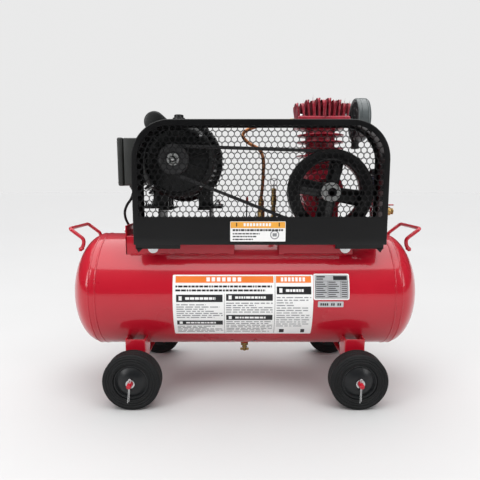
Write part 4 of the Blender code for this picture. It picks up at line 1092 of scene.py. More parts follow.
def build_crankcase(pump):
    x = pump.bore_x
    z = pump.crank_height
    low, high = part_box("crankcase")
    axis = (x, 0.0, z)
    top = high.z
    drum = [(0.056, -0.01), (0.056, high.y), (0.05, high.y), (0.05, -0.001), (0.0262, -0.001),
            (0.0262, -0.01)]
    cradle = [(-0.046, low.z + 0.004 - z), (0.046, low.z + 0.004 - z)]
    cradle += arc((0.0, 0.0), 0.053, -30, -150, 24)
    throat = (x, pump.cylinder_y)
    shapes = [lathe(drum, at(axis, "Y"), 96, True, 0.0024),
              prism(cradle, -0.098, -0.004, at(axis, "-Y"), 0.003),
              box((x - 0.062, -0.014, low.z), (x + 0.056, 0.103, low.z + 0.0115), 0.003, segments=3),
              bored_block(throat, 0.041, 0.0335, z + 0.02, top - 0.002, 0.006),
              bored_block(throat, 0.048, 0.0335, top - 0.009, top, 0.0026),
              lathe([(0.0262, -0.05), (0.0262, -0.005), (0.038, -0.005), (0.035, -0.013),
                     (0.032, -0.02), (0.032, -0.042), (0.0345, -0.044), (0.0345, -0.05)],
                    at(axis, "Y"), 72, True, 0.001)]
    for sign in (-1, 1):
        shapes.append(prism([(0.036, low.z + 0.01), (0.06 if sign < 0 else 0.054, low.z + 0.01),
                             (0.044, z - 0.01), (0.036, z - 0.01)], -0.055, -0.047,
                            Matrix.Translation((x, 0.0, 0.0)) @ Matrix.Scale(sign, 4, (1, 0, 0))
                            @ at((0, 0, 0), "-Y"), 0.001))
    for web in shapes[-2:]:
        bmesh.ops.recalc_face_normals(web, faces=web.faces)
    keep("crankcase_casting", shapes, "casting", replaced=("crankcase",))
    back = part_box("crankcase_cover")[1].y
    cover = [(0.0, back), (0.033, back), (0.038, back - 0.0022), (0.04, back - 0.0036),
             (0.056, back - 0.0036), (0.056, 0.1123), (0.0, 0.1123)]
    keep("crankcase_back_cover", lathe(cover, at(axis, "Y"), 96, False, 0.0008), "casting",
         replaced=("crankcase_cover",))
    bolts = []
    for turn in turns(6, 30):
        across, up = round_spot((x, z), 0.048, turn)
        bolts.append(bolt(at((across, back - 0.0036, up), "Y"), 0.008, 0.0042))
    for sign_x, reach in ((-1, 0.054), (1, 0.049)):
        for y in (-0.006, 0.094):
            bolts.append(bolt(at((x + sign_x * reach, y, low.z + 0.0115)), 0.011, 0.0065, 0.009, 0.004))
    for sign_x in (-1, 1):
        for y in (0.008, 0.092):
            bolts.append(bolt(at((x + sign_x * 0.042, y, top - 0.009), "-Z"), 0.008, 0.0045))
    keep("crankcase_bolts", bolts, "zinc")
    rim = lathe([(0.011, 0.004), (0.011, -0.001), (0.008, -0.001), (0.008, 0.003)],
                at((x + 0.012, back - 0.0005, z - 0.012), "Y"), 40, True, 0.0005)
    keep("oil_window_rim", rim, "brass")
    keep("oil_window", disc(0.0079, 0.0, 0.0022, at((x + 0.012, back - 0.0003, z - 0.012), "Y"), 40),
         "glass")
    filler = [disc(0.0085, 0.0, 0.006, at((x - 0.0445, 0.03, z + 0.048), "-X"), 24, 0.0006),
              nut(0.013, 0.006, 0.012, at((x - 0.0445, 0.03, z + 0.048), "-X")),
              nut(0.012, 0.0, 0.007, at((x + 0.046, 0.05, low.z + 0.02), "X"))]
    keep("oil_plugs", filler, "zinc")


def build_cylinder(pump):
    x = pump.bore_x
    y = pump.cylinder_y
    low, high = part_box("cylinder")
    core = 0.0395
    tip = pump.fin_radius
    profile = []
    count = 5
    pitch = 0.0185
    half = 0.0021
    for index in range(count):
        spot = high.z - half - index * pitch
        if index > 0:
            profile += [(core, spot + pitch / 2), (core + 0.001, spot + half + 0.0022),
                        (core + 0.004, spot + half + 0.0003)]
        profile += [(tip - 0.0016, spot + half - 0.0004), (tip - 0.0003, spot + half - 0.0011), (tip, spot),
                    (tip - 0.0003, spot - half + 0.0011), (tip - 0.0016, spot - half + 0.0004),
                    (core + 0.004, spot - half - 0.0003), (core + 0.001, spot - half - 0.0022)]
    profile += [(core, low.z + 0.008), (core + 0.005, low.z + 0.0065), (core + 0.005, low.z),
                (0.0325, low.z), (0.0325, high.z)]
    keep("cylinder_finned", lathe(profile, at((x, y, 0.0)), 96, True), "casting", replaced=("cylinder",))
    low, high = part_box("cylinder_head")
    base_top = low.z + 0.026
    shapes = [box((low.x + 0.0108, low.y, low.z), (high.x - 0.0108, high.y, base_top), 0.0045, segments=3)]
    widths = (0.005, 0.0066, 0.0048, 0.0072, 0.0052, 0.0088, 0.0054, 0.0074, 0.0048, 0.0068, 0.0052)
    last = (len(widths) - 1) / 2
    for index, width in enumerate(widths):
        share = (index - last) / last
        reach = (high.z - base_top + 0.004) - 0.011 * share ** 2 - 0.005 * (index % 2)
        depth = (high.y - low.y) / 2 - 0.0145 * share ** 2 - 0.001
        crown = 0.012
        outline = [(-depth, 0.0), (depth, 0.0)]
        outline += arc((depth - crown, reach - crown), crown, 0, 90, 7)
        outline += arc((-depth + crown, reach - crown), crown, 90, 180, 7)
        fin = prism(outline, -width / 2, width / 2, FACE_X)
        rims = [edge for edge in fin.edges if edge.calc_face_angle(0.0) > 1.0
                and (edge.verts[0].co.z + edge.verts[1].co.z) > 0.002]
        round_off(fin, rims, width * 0.42, 3, clamp=True)
        fin.transform(Matrix.Translation((x + (index - last) * 0.0128, y, base_top - 0.004))
                      @ Matrix.Rotation(0.16 * share, 4, "Y"))
        shapes.append(fin)
    keep("cylinder_head_fins", shapes, "casting", replaced=("cylinder_head",))
    bolts = []
    for sign_x in (-1, 1):
        for offset in (-0.04, 0.0, 0.04):
            spot = (x + sign_x * 0.0585, y + offset, base_top - 0.001)
            bolts.append(bolt(at(spot), 0.0085, 0.0055, 0.0068))
    keep("head_bolts", bolts, "zinc")


def build_filter():
    """Round intake filter with a dark plastic face, seamed rim and a funnel below it."""
    low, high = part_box("air_filter")
    y = (low.y + high.y) / 2
    z = 0.718
    near = 0.299
    radius = (high.y - low.y) / 2
    depth = high.x - near
    front_rim = ((0.01, 0.004), (0.0075, 0.0008), (0.0045, 0.0), (0.002, 0.0012), (0.0004, 0.0042),
                 (0.0004, 0.0092), (0.0012, 0.01), (0.0004, 0.0108))
    back_rim = ((0.0002, 0.011), (0.0012, 0.0102), (0.0002, 0.0094), (0.0008, 0.006), (0.004, 0.0018),
                (0.009, 0.0))
    rim = [(radius - inset, height) for inset, height in front_rim]
    rim += [(radius - inset, depth - height) for inset, height in back_rim]
    rim += [(0.0, depth), (0.0, depth - 0.002), (radius - 0.01, depth - 0.002)]
    neck_z = low_corner("cylinder_head").z + 0.013
    neck = disc(0.0105, low.x, near + 0.004, at((0.0, y, neck_z), "X"), 36, 0.001)
    flange = nut(0.027, near - 0.011, near - 0.003, at((0.0, y, neck_z), "X"))
    keep("filter_can", join(lathe(rim, at((near, y, z), "X"), 96, True), neck, flange), "filter",
         replaced=("air_filter",))
    face = [(0.0, 0.005), (0.012, 0.005), (0.013, 0.004), (0.03, 0.004), (0.031, 0.0052),
            (0.033, 0.0052), (0.034, 0.004), (radius - 0.0102, 0.0038), (radius - 0.0102, 0.02),
            (0.0, 0.02)]
    keep("filter_face", lathe(face[::-1], at((near, y, z), "X"), 80), "plastic")
    funnel = [(0.03, 0.7), (0.031, 0.693), (0.024, 0.676), (0.013, 0.662), (0.01, 0.656),
              (0.01, 0.64), (0.0075, 0.64), (0.0075, 0.69), (0.0075, 0.7)]
    shape = lathe(funnel, UNMOVED, 56, True, 0.0008)
    for vert in shape.verts:
        share = min(1.0, max(0.0, (vert.co.z - 0.656) / 0.04))
        vert.co.x *= 1.0 - 0.46 * share
        vert.co.x += 0.307 + 0.0085 * share
        vert.co.y += y
    ring = lathe([(0.0112, 0.644), (0.0112, 0.64), (0.0098, 0.64), (0.0098, 0.644)],
                 at((0.307, y, 0.0)), 40, True, 0.0006)
    keep("filter_funnel", join(shape, ring), "plastic")


# ---- belt drive

def build_flywheel(pump):
    """Grooved rim, four pitched blades and a machined boss."""
    centre = Vector((pump.bore_x, -0.095, pump.crank_height))
    radius = pump.flywheel_radius
    rim = [(radius, 0.0165), (radius, 0.0066), (0.0965, 0.0044), (0.0965, -0.0044), (radius, -0.0066),
           (radius, -0.0165), (0.102, -0.0165), (0.1, -0.015), (0.081, -0.015), (0.0785, -0.0165),
           (0.076, -0.0165), (0.076, 0.0165)]
    shapes = [lathe(rim, at(centre, "Y"), 144, True, 0.0006)]
    boss = [(0.0232, 0.024), (0.024, 0.0232), (0.024, -0.013), (0.0225, -0.015), (0.0128, -0.015),
            (0.0128, 0.024)]
    shapes.append(lathe(boss, at(centre, "Y"), 64, True))
    for index in range(4):
        blade = bmesh.new()
        bmesh.ops.create_grid(blade, x_segments=14, y_segments=8, size=0.5)
        for vert in blade.verts:
            out = vert.co.x + 0.5
            across = vert.co.y
            wide = 0.037 * (0.9 + 0.16 * out)
            vert.co = ((0.0205 + 0.057 * out), 0.003 * math.cos(across * math.pi), across * wide)
        bmesh.ops.solidify(blade, geom=list(blade.faces), thickness=0.0052)
        bmesh.ops.recalc_face_normals(blade, faces=blade.faces)
        soften(blade, 0.0013, 2, 50.0)
        turn = Matrix.Rotation(math.radians(10 + 90 * index), 4, "Y")
        blade.transform(Matrix.Translation(centre) @ turn @ Matrix.Rotation(math.radians(24), 4, "X")
                        @ Matrix.Translation((0.0, -0.0005, 0.0)))
        shapes.append(blade)
    keep("flywheel_bladed", shapes, "guard_black", "crank", ("flywheel",))
    tip = low_corner("crankshaft").y
    front = centre.y - 0.0165
    face = at((centre.x, front + 0.0022, centre.z), "-Y")
    cap = [lathe([(0.0238, 0.0), (0.0238, 0.005), (0.0222, 0.0068), (0.019, 0.0068), (0.0172, 0.0046),
                  (0.0127, 0.0046), (0.0127, -0.0012), (0.0238, -0.0012)], face, 72, True, 0.0003),
           disc(0.0124, tip, front + 0.01, at((centre.x, 0.0, centre.z), "Y"), 48, 0.001),
           nut(0.017, 0.0, 0.005, at((centre.x, tip + 0.006, centre.z), "-Y"), 0.0006)]
    for turn in turns(3, 30):
        across, up = round_spot((centre.x, centre.z), 0.0206, turn)
        cap.append(disc(0.002, 0.0, 0.0012, at((across, front - 0.0044, up), "-Y"), 20, 0.0004))
    keep("flywheel_boss_face", cap, "machined", "crank")


def belt_outline(big, small, motor, pump, steps):
    far = pump - motor
    slope = math.degrees(math.atan2(far.z, far.x))
    wrap = math.degrees(math.asin((big - small) / far.length))
    outline = arc((pump.x, pump.z), big, slope - 90 - wrap, slope + 90 + wrap, steps)
    outline += arc((motor.x, motor.z), small, slope + 90 + wrap, slope + 270 - wrap, steps // 2)
    return outline


def build_belt(pump_sizes):
    """V-belt: a trapezoid section between a wide outer and a narrow inner outline."""
    low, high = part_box("drive_belt")
    y = (low.y + high.y) / 2
    motor = middle("motor_pulley")
    pump = Vector((pump_sizes.bore_x, 0.0, pump_sizes.crank_height))
    form = bmesh.new()
    rings = []
    for big, small, half in ((0.1036, 0.0365, 0.0054), (0.1018, 0.0347, 0.0052), (0.0958, 0.0287, 0.0036)):
        outline = belt_outline(big, small, motor, pump, 72)
        for side in (-half, half):
            rings.append([form.verts.new((x, y + side, z)) for x, z in outline])
    order = [rings[0], rings[1], rings[3], rings[5], rings[4], rings[2]]
    for first, second in zip(order, order[1:] + order[:1]):
        loops = []
        for ring in (first, second):
            for start, end in zip(ring, ring[1:] + ring[:1]):
                edge = form.edges.get((start, end))
                loops.append(edge if edge else form.edges.new((start, end)))
        bmesh.ops.bridge_loops(form, edges=loops)
    bmesh.ops.recalc_face_normals(form, faces=form.faces)
    keep("v_belt", form, "belt", replaced=("drive_belt",))


# ---- belt guard

def guard_outline(guard, inset, low, steps=14):
    box_low, box_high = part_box("guard_frame")
    left = box_low.x + inset
    right = box_high.x - inset
    top = box_high.z - inset
    radius = guard.corner - inset
    outline = [(left, low), (right, low)]
    outline += arc((right - radius, top - radius), radius, 0, 90, steps)
    outline += arc((left + radius, top - radius), radius, 90, 180, steps)
    return outline


def build_guard(guard):
    """Folded sheet shell: lipped face, side band and back lip, with its feet."""
    box_low, box_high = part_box("guard_frame")
    low = 0.3985
    front = box_low.y
    form = bmesh.new()
    loops = []
    for inset, bottom in ((guard.lip, guard.band_top), (0.0, low)):
        ring = [form.verts.new((x, front, z)) for x, z in guard_outline(guard, inset, bottom)]
        loops.append([form.edges.new(pair) for pair in zip(ring, ring[1:] + ring[:1])])
    bmesh.ops.bridge_loops(form, edges=loops[0] + loops[1])
    rim = loops[1][1:]
    for depth, inset in ((box_high.y - front, 0.0), (0.0, guard.back_lip)):
        grown = bmesh.ops.extrude_edge_only(form, edges=rim)
        verts = [item for item in grown["geom"] if isinstance(item, bmesh.types.BMVert)]
        rim = [item for item in grown["geom"] if isinstance(item, bmesh.types.BMEdge)
               and all(vert in verts for vert in item.verts)]
        bmesh.ops.translate(form, verts=verts, vec=(0.0, depth, 0.0))
        if inset > 0.0:
            outer = guard_outline(guard, 0.0, low)
            inner = guard_outline(guard, inset, low)
            for vert in verts:
                near = min(range(len(outer)), key=lambda i: math.dist(outer[i], (vert.co.x, vert.co.z)))
                vert.co.x, vert.co.z = inner[near]
    notch_top = 0.4165
    notch_front = -0.107
    for spot, normal in (((0, notch_front, 0), (0, 1, 0)), ((0, 0, notch_top), (0, 0, 1))):
        bmesh.ops.bisect_plane(form, geom=whole(form), plane_co=spot, plane_no=normal)
    gone = [face for face in form.faces if face.calc_center_median().y > notch_front
            and face.calc_center_median().z < notch_top and face.calc_center_median().x < 0.0]
    bmesh.ops.delete(form, geom=gone, context="FACES")
    bmesh.ops.recalc_face_normals(form, faces=form.faces)
    creases = [edge for edge in form.edges if edge.is_manifold and edge.calc_face_angle(0.0) > 0.9]
    round_off(form, creases, 0.0024)
    bmesh.ops.recalc_face_normals(form, faces=form.faces)
    outward = max(form.faces, key=lambda face: face.calc_center_median().z)
    inward = -guard.sheet if outward.normal.z < 0 else guard.sheet
    bmesh.ops.solidify(form, geom=list(form.faces), thickness=inward)
    bmesh.ops.recalc_face_normals(form, faces=form.faces)
    shapes = [form]
    edge_y = front + 0.0045
    for near, far, tip in ((-0.2635, -0.156, -0.2635), (0.216, 0.3315, 0.3315)):
        inward = 0.012 if tip == near else -0.012
        foot_low = 0.3885
        outline = [(near, 0.418), (near, foot_low), (far, foot_low), (far, 0.418)]
        shapes.append(prism(outline, -edge_y, -front - 0.0002, at((0, 0, 0), "-Y"), 0.0008))
        spike = [(tip, foot_low + 0.003), (tip + inward * 0.6, foot_low - 0.009),
                 (tip + inward * 1.6, foot_low + 0.003)]
        shapes.append(prism(spike, -edge_y, -front - 0.0002, at((0, 0, 0), "-Y"), 0.0006))
        shapes.append(box((near + 0.03, front + 0.001, 0.399), (near + 0.06, -0.1043, 0.403), 0.0006))
    keep("guard_shell", shapes, "guard_black", replaced=("guard_frame",))
    clips = []
    for x in (-0.222, 0.241):
        clips.append(disc(0.013, 0.0, 0.0018, at((x, edge_y + 0.002, 0.3905), "-Y"), 48, 0.0004))
        clips.append(disc(0.004, edge_y + 0.001, edge_y + 0.015, at((x, 0.0, 0.3905), "Y"), 24))
    keep("guard_bolts", clips, "zinc")


def inside_outline(outline, spot):
    """True when the spot lies inside a convex outline given anticlockwise."""
    for (ax, az), (bx, bz) in zip(outline, outline[1:] + outline[:1]):
        if (bx - ax) * (spot[1] - az) - (bz - az) * (spot[0] - ax) < 0:
            return False
    return True


def nearest_on(outline, spot):
    best = None
    for (ax, az), (bx, bz) in zip(outline, outline[1:] + outline[:1]):
        span_x, span_z = bx - ax, bz - az
        share = ((spot[0] - ax) * span_x + (spot[1] - az) * span_z) / (span_x ** 2 + span_z ** 2)
        share = min(1.0, max(0.0, share))
        point = (ax + share * span_x, az + share * span_z)
        gap = math.dist(point, spot)
        if best is None or gap < best[0]:
            best = (gap, point)
    return best[1]


def build_guard_sheet(guard):
    """Perforated sheet: one round hole in each hexagon of a honeycomb."""
    low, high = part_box("guard_mesh")
    outline = guard_outline(guard, 0.0046, low.z)
    safe = guard_outline(guard, 0.0046 + guard.hole_pitch * 0.55, low.z + guard.hole_pitch * 0.55)
    pitch = guard.hole_pitch
    row_step = pitch * math.sqrt(3) / 2
    sides = guard.hole_sides
    reach = pitch / 2
    form = bmesh.new()
    rows = int((high.z - low.z) / row_step) + 2
    columns = int((high.x - low.x) / pitch) + 2
    for row in range(rows):
        for column in range(columns):
            x = low.x + pitch * (column + 0.5 * (row % 2))
            z = low.z + row_step * row
            if not inside_outline(safe, (x, z)):
                continue
            hole = []
            cell = []
            for side in range(sides):
                turn = math.tau * side / sides
                edge = reach / math.cos((turn + math.pi / 6) % (math.pi / 3) - math.pi / 6)
                hole.append(form.verts.new((x + guard.hole_radius * math.cos(turn), low.y,
                                            z + guard.hole_radius * math.sin(turn))))
                cell.append(form.verts.new((x + edge * math.cos(turn), low.y, z + edge * math.sin(turn))))
            for side in range(sides):
                following = (side + 1) % sides
                form.faces.new((hole[side], hole[following], cell[following], cell[side]))
    bmesh.ops.remove_doubles(form, verts=form.verts, dist=0.0002)
    side_length = 2 * guard.hole_radius * math.sin(math.pi / sides)
    for vert in form.verts:
        if vert.is_boundary and len(vert.link_faces) < 4:
            rims = [edge for edge in vert.link_edges if edge.is_boundary]
            vert.tag = any(abs(edge.calc_length() - side_length) >= 0.00012 for edge in rims)
    for vert in [vert for vert in form.verts if vert.tag]:
        vert.co.x, vert.co.z = nearest_on(outline, (vert.co.x, vert.co.z))
    bmesh.ops.remove_doubles(form, verts=[vert for vert in form.verts if vert.tag], dist=0.0003)
    bmesh.ops.solidify(form, geom=list(form.faces), thickness=high.y - low.y)
    bmesh.ops.recalc_face_normals(form, faces=form.faces)
    middle_y = sum(vert.co.y for vert in form.verts) / len(form.verts)
    bmesh.ops.translate(form, verts=form.verts, vec=(0.0, (low.y + high.y) / 2 - middle_y, 0.0))
    keep("guard_perforated_sheet", form, "guard_black", replaced=("guard_mesh",),
         sharp=45.0)


# ---- air fittings

LEAD_ROUTE = (
    (-0.302, 0.0, 0.5275), (-0.3026, 0.0, 0.518), (-0.3085, 0.0, 0.503),
    (-0.319, 0.0004, 0.488), (-0.3265, 0.002, 0.471), (-0.3275, 0.0075, 0.452),
    (-0.3235, 0.0185, 0.4335), (-0.318, 0.035, 0.4175), (-0.314, 0.054, 0.4052),
    (-0.313, 0.072, 0.396), (-0.312, 0.089, 0.386), (-0.306, 0.1045, 0.3765),
    (-0.2935, 0.1145, 0.37), (-0.277, 0.118, 0.368), (-0.255, 0.1155, 0.367),
    (-0.22, 0.112, 0.368), (-0.17, 0.111, 0.3688), (-0.125, 0.112, 0.3686),
    (-0.09, 0.117, 0.368), (-0.065, 0.1275, 0.3685), (-0.043, 0.1405, 0.371),
    (-0.021, 0.1505, 0.3785), (-0.0045, 0.1535, 0.393), (0.001, 0.149, 0.411),
    (0.0005, 0.137, 0.424), (0.0, 0.123, 0.4297), (0.0, 0.1115, 0.43))
LEAD_DIAMETER = 0.007


def build_lead():
    """The lead from the motor's box round the back of its base plate to the pressure switch."""
    route = smooth_route(LEAD_ROUTE, 6)
    piece = keep("switch_lead", tube(route, LEAD_DIAMETER / 2, 5), "rubber", replaced=("motor_lead",),
                 slot="belt_rubber")


def build_discharge(tank):
    x, y, _ = middle("check_valve")
    here = at((x, y, 0.0))
    port = at((0.0, y + 0.004, 0.715), "X")
    route = [(0.1395, y + 0.004, 0.715), (0.12, y + 0.004, 0.715), (0.08, y + 0.002, 0.712),
             (0.03, y, 0.7), (0.003, y, 0.689), (-0.0045, y, 0.674), (0.012, y, 0.656),
             (0.04, y, 0.639), (0.052, y, 0.615), (0.053, y, 0.58), (0.05, y, 0.53),
             (x, y, 0.5), (x, y, 0.4818)]
    pipe = tube(smooth_route(route, 8), 0.0047, 6)
    keep("discharge_copper_pipe", pipe, "copper", replaced=("discharge_pipe",))
    flares = [nut(0.0155, 0.1255, 0.139, port, 0.0008),
              disc(0.0066, 0.119, 0.126, port, 32, 0.0008),
              nut(0.0165, 0.484, 0.496, here, 0.0008),
              disc(0.0068, 0.4955, 0.502, here, 32, 0.0008)]
    keep("pipe_flare_nuts", flares, "brass")
    seat = shell_top(tank, y) + BUNG_TOP
    body = [nut(0.0215, seat + 0.0004, seat + 0.01, here, 0.0008),
            disc(0.0118, seat + 0.01, seat + 0.02, here, 40, 0.001),
            nut(0.0205, seat + 0.02, 0.465, here, 0.0008),
            lathe([(0.0, 0.4835), (0.0072, 0.4835), (0.0078, 0.4825), (0.0092, 0.479), (0.0092, 0.464),
                   (0.0, 0.464)], here, 40, False, 0.0004),
            disc(0.0085, seat - 0.014, seat + 0.001, here, 32)]
    keep("check_valve_body", body, "brass", replaced=("check_valve",))


def build_safety_valve(tank):
    x, y, _ = middle("safety_valve")
    seat = shell_top(tank, y) + BUNG_TOP
    here = at((x, y, 0.0))
    body = [nut(0.0155, seat + 0.0004, 0.461, here, 0.0007),
            disc(0.0068, seat - 0.012, seat + 0.001, here, 28),
            disc(0.0053, 0.46, 0.489, here, 32, 0.0005),
            nut(0.0138, 0.4885, 0.499, here, 0.0007),
            lathe([(0.0, 0.5325), (0.004, 0.5325), (0.006, 0.53), (0.0063, 0.527), (0.0063, 0.5205),
                   (0.0057, 0.5195), (0.0057, 0.517), (0.0064, 0.516), (0.0064, 0.506), (0.007, 0.505),
                   (0.007, 0.4985), (0.0, 0.4985)], here, 40)]
    for height in (0.508, 0.512):
        body.append(lathe([(0.0068, height + 0.0008), (0.0068, height - 0.0008), (0.006, height - 0.0008),
                           (0.006, height + 0.0008)], here, 32, True))
    keep("safety_valve_body", body, "brass", replaced=("safety_valve",))
    ring = [(x + 0.0085 * math.cos(turn), y, 0.548 + 0.01 * math.sin(turn)) for turn in turns(44)]
    stem = disc(0.002, 0.5328, 0.5395, here, 20, 0.0003)
    knob = disc(0.003, 0.5345, 0.5362, here, 24, 0.0004)
    keep("safety_pull_ring", join(tube(ring, 0.001, 3, True), stem, knob), "zinc", "relief_ring",
         ("safety_ring",))


def build_pressure_switch():
    low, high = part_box("pressure_switch")
    pivot = joint_place("pressure_lever_tilt")
    x, y = pivot.x, pivot.y
    cover_low = 0.4053
    case = [box((low.x, low.y, cover_low + 0.0095), (high.x, high.y, high.z), 0.0045, segments=4),
            box((low.x - 0.001, low.y - 0.001, cover_low),
                (high.x + 0.001, high.y + 0.001, cover_low + 0.0105), 0.002, segments=3),
            disc(0.0085, 0.0, 0.0075, at((0.0, high.y - 0.001, 0.43), "Y"), 32, 0.0008)]
    keep("switch_case", case, "plastic", replaced=("pressure_switch",))
    nipple = [disc(0.0088, low.z, cover_low + 0.001, at((x, y, 0.0)), 32),
              nut(0.02, cover_low - 0.0075, cover_low, at((x, y, 0.0)), 0.0008)]
    keep("switch_nipple_nut", nipple, "brass")
    slot_rim = box((x - 0.0225, y - 0.0045, high.z - 0.001),
                   (x + 0.0205, y + 0.0045, high.z + 0.0006), 0.0004)
    keep("switch_slot_trim", slot_rim, "print_black", slot="black_plastic")
    keep("switch_screw", disc(0.003, 0.0, 0.001, at((low.x + 0.005, y, high.z - 0.0002)), 20, 0.0004),
         "zinc")
    lever = tube([(x, y, 0.437), (x + 0.0008, y, 0.46), (x + 0.002, y, 0.49)], 0.0021, 4)
    keep("switch_lever_rod", lever, "plastic", "pressure_lever")
    tip = box((x - 0.0018, y - 0.0045, 0.488), (x + 0.0056, y + 0.0045, 0.5058), 0.0022, segments=4)
    keep("switch_lever_tip", tip, "red_plastic", "pressure_lever", ("switch_lever",))


def build_outlet(tank):
    x, y, _ = middle("air_riser")
    here = at((x, y, 0.0))
    seat = shell_top(tank, y) + BUNG_TOP
    pipe = [disc(0.0083, seat - 0.012, 0.5345, here, 40, 0.0005),
            nut(0.0215, seat + 0.0004, seat + 0.011, here, 0.0008),
            disc(0.0125, 0.459, 0.482, here, 48, 0.0016),
            nut(0.0215, 0.5235, 0.5335, here, 0.0008)]
    keep("riser_pipe", pipe, "zinc", replaced=("air_riser",))
    body = lathe([(0.0, 0.566), (0.0118, 0.566), (0.0118, 0.562), (0.0165, 0.5612), (0.0182, 0.559),
                  (0.0182, 0.552), (0.0172, 0.5508), (0.0182, 0.5496), (0.0182, 0.54), (0.017, 0.5365),
                  (0.014, 0.535), (0.0, 0.535)], here, 64)
    keep("regulator_body", body, "navy", replaced=("regulator",))
    grip = [lathe([(0.0, 0.5828), (0.0135, 0.5826), (0.0152, 0.581), (0.0156, 0.579), (0.0156, 0.568),
                   (0.015, 0.5666), (0.0, 0.5664)], here, 48)]
    grip += [disc(0.0011, 0.568, 0.5798, at((*round_spot((x, y), 0.0153, turn), 0.0)), 8, 0.0004)
             for turn in turns(20)]
    keep("regulator_grip", grip, "plastic", "pressure_knob", ("regulator_knob",))
    low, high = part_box("outlet_cock")
    stem_x = joint_place("outlet_lever_turn").x
    start = low.x
    end = high.x
    along = at((0.0, y, 0.4705), "X")
    cock = [nut(0.0185, start + 0.001, start + 0.0072, along, 0.0007),
            lathe([(0.0105, start + 0.007), (0.0113, start + 0.0088), (0.0113, end - 0.0095),
                   (0.0104, end - 0.007), (0.008, end - 0.0068), (0.008, end - 0.005),
                   (0.0072, end - 0.0043), (0.0084, end - 0.003), (0.0084, end - 0.0005), (0.0078, end),
                   (0.005, end), (0.005, start), (0.0078, start), (0.0078, start + 0.007)],
                  along, 48, True),
            disc(0.0052, 0.47, 0.4853, at((stem_x, y, 0.0)), 28, 0.0006),
            nut(0.012, 0.48, 0.4845, at((stem_x, y, 0.0)), 0.0005)]
    keep("outlet_cock_body", cock, "brass", replaced=("outlet_cock",))
    low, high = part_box("cock_lever")
    handle = box((low.x, low.y, low.z), (high.x, high.y, high.z), 0.0012, segments=3)
    keep("outlet_cock_handle", handle, "red_plastic", "outlet_lever", ("cock_lever",))
    pin = bolt(at((stem_x, y, high.z - 0.0006)), 0.006, 0.0018)
    keep("outlet_handle_nut", pin, "zinc", "outlet_lever")


# ---- labels

def wrap_patch(tank, left, right, top, bottom, level, corner=0.0):
    """A thin sheet on the tank's front; top and bottom are degrees above the horizontal front."""
    steps = max(2, int(abs(top - bottom) / 1.5))
    columns = 2
    form = bmesh.new()
    bmesh.ops.create_grid(form, x_segments=columns, y_segments=steps, size=0.5)
    if corner > 0.0:
        tips = [vert for vert in form.verts if len(vert.link_faces) == 1]
        across = right - left
        down = math.radians(top - bottom) * tank.radius
        for vert in form.verts:
            vert.co.x *= across
            vert.co.y *= down
        round_off(form, tips, corner, affect="VERTICES")
        for vert in form.verts:
            vert.co.x /= across
            vert.co.y /= down
    for vert in form.verts:
        turn = math.radians(bottom + (top - bottom) * (vert.co.y + 0.5))
        reach = tank.radius + level * SKIN
        x = left + (right - left) * (vert.co.x + 0.5)
        vert.co = (x, -reach * math.cos(turn), tank.axis_height + reach * math.sin(turn))
    return form


PANEL = (-0.177, 0.166, 25.0, -38.0)
# Each block is (left, right, top, bottom) as shares of the panel's width and height.
ORANGE_BLOCKS = ((0.02, 0.717, 0.02, 0.12), (0.735, 0.985, 0.02, 0.12))
BLACK_BLOCKS = ((0.025, 0.355, 0.295, 0.405), (0.025, 0.355, 0.71, 0.79), (0.38, 0.712, 0.285, 0.385),
                (0.38, 0.712, 0.61, 0.7), (0.74, 0.985, 0.175, 0.29), (0.765, 0.8, 0.885, 0.965),
                (0.922, 0.95, 0.885, 0.965))
GREY_LINES = ((0.025, 0.355, 0.44, 0.68, 7), (0.025, 0.355, 0.815, 0.965, 5),
              (0.38, 0.712, 0.415, 0.59, 5), (0.38, 0.712, 0.725, 0.965, 7),
              (0.74, 0.985, 0.33, 0.85, 13))


def panel_patch(tank, block, level, corner=0.0):
    left, right, top, bottom = PANEL
    wide = right - left
    tall = top - bottom
    return wrap_patch(tank, left + wide * block[0], left + wide * block[1], top - tall * block[2],
                      top - tall * block[3], level, corner)


def panel_patches(tank, blocks, level):
    return [panel_patch(tank, block, level) for block in blocks]


def words(left, right, top, bottom, seed, share=0.02):
    """Shares of the panel filled by a row of short blocks, as a line of print is by its words."""
    chance = random.Random(seed)
    blocks = []
    start = left
    while start < right:
        end = min(right, start + share * chance.uniform(0.5, 1.8))
        blocks.append((start, end, top, bottom))
        start = end + share * 0.28
    return blocks


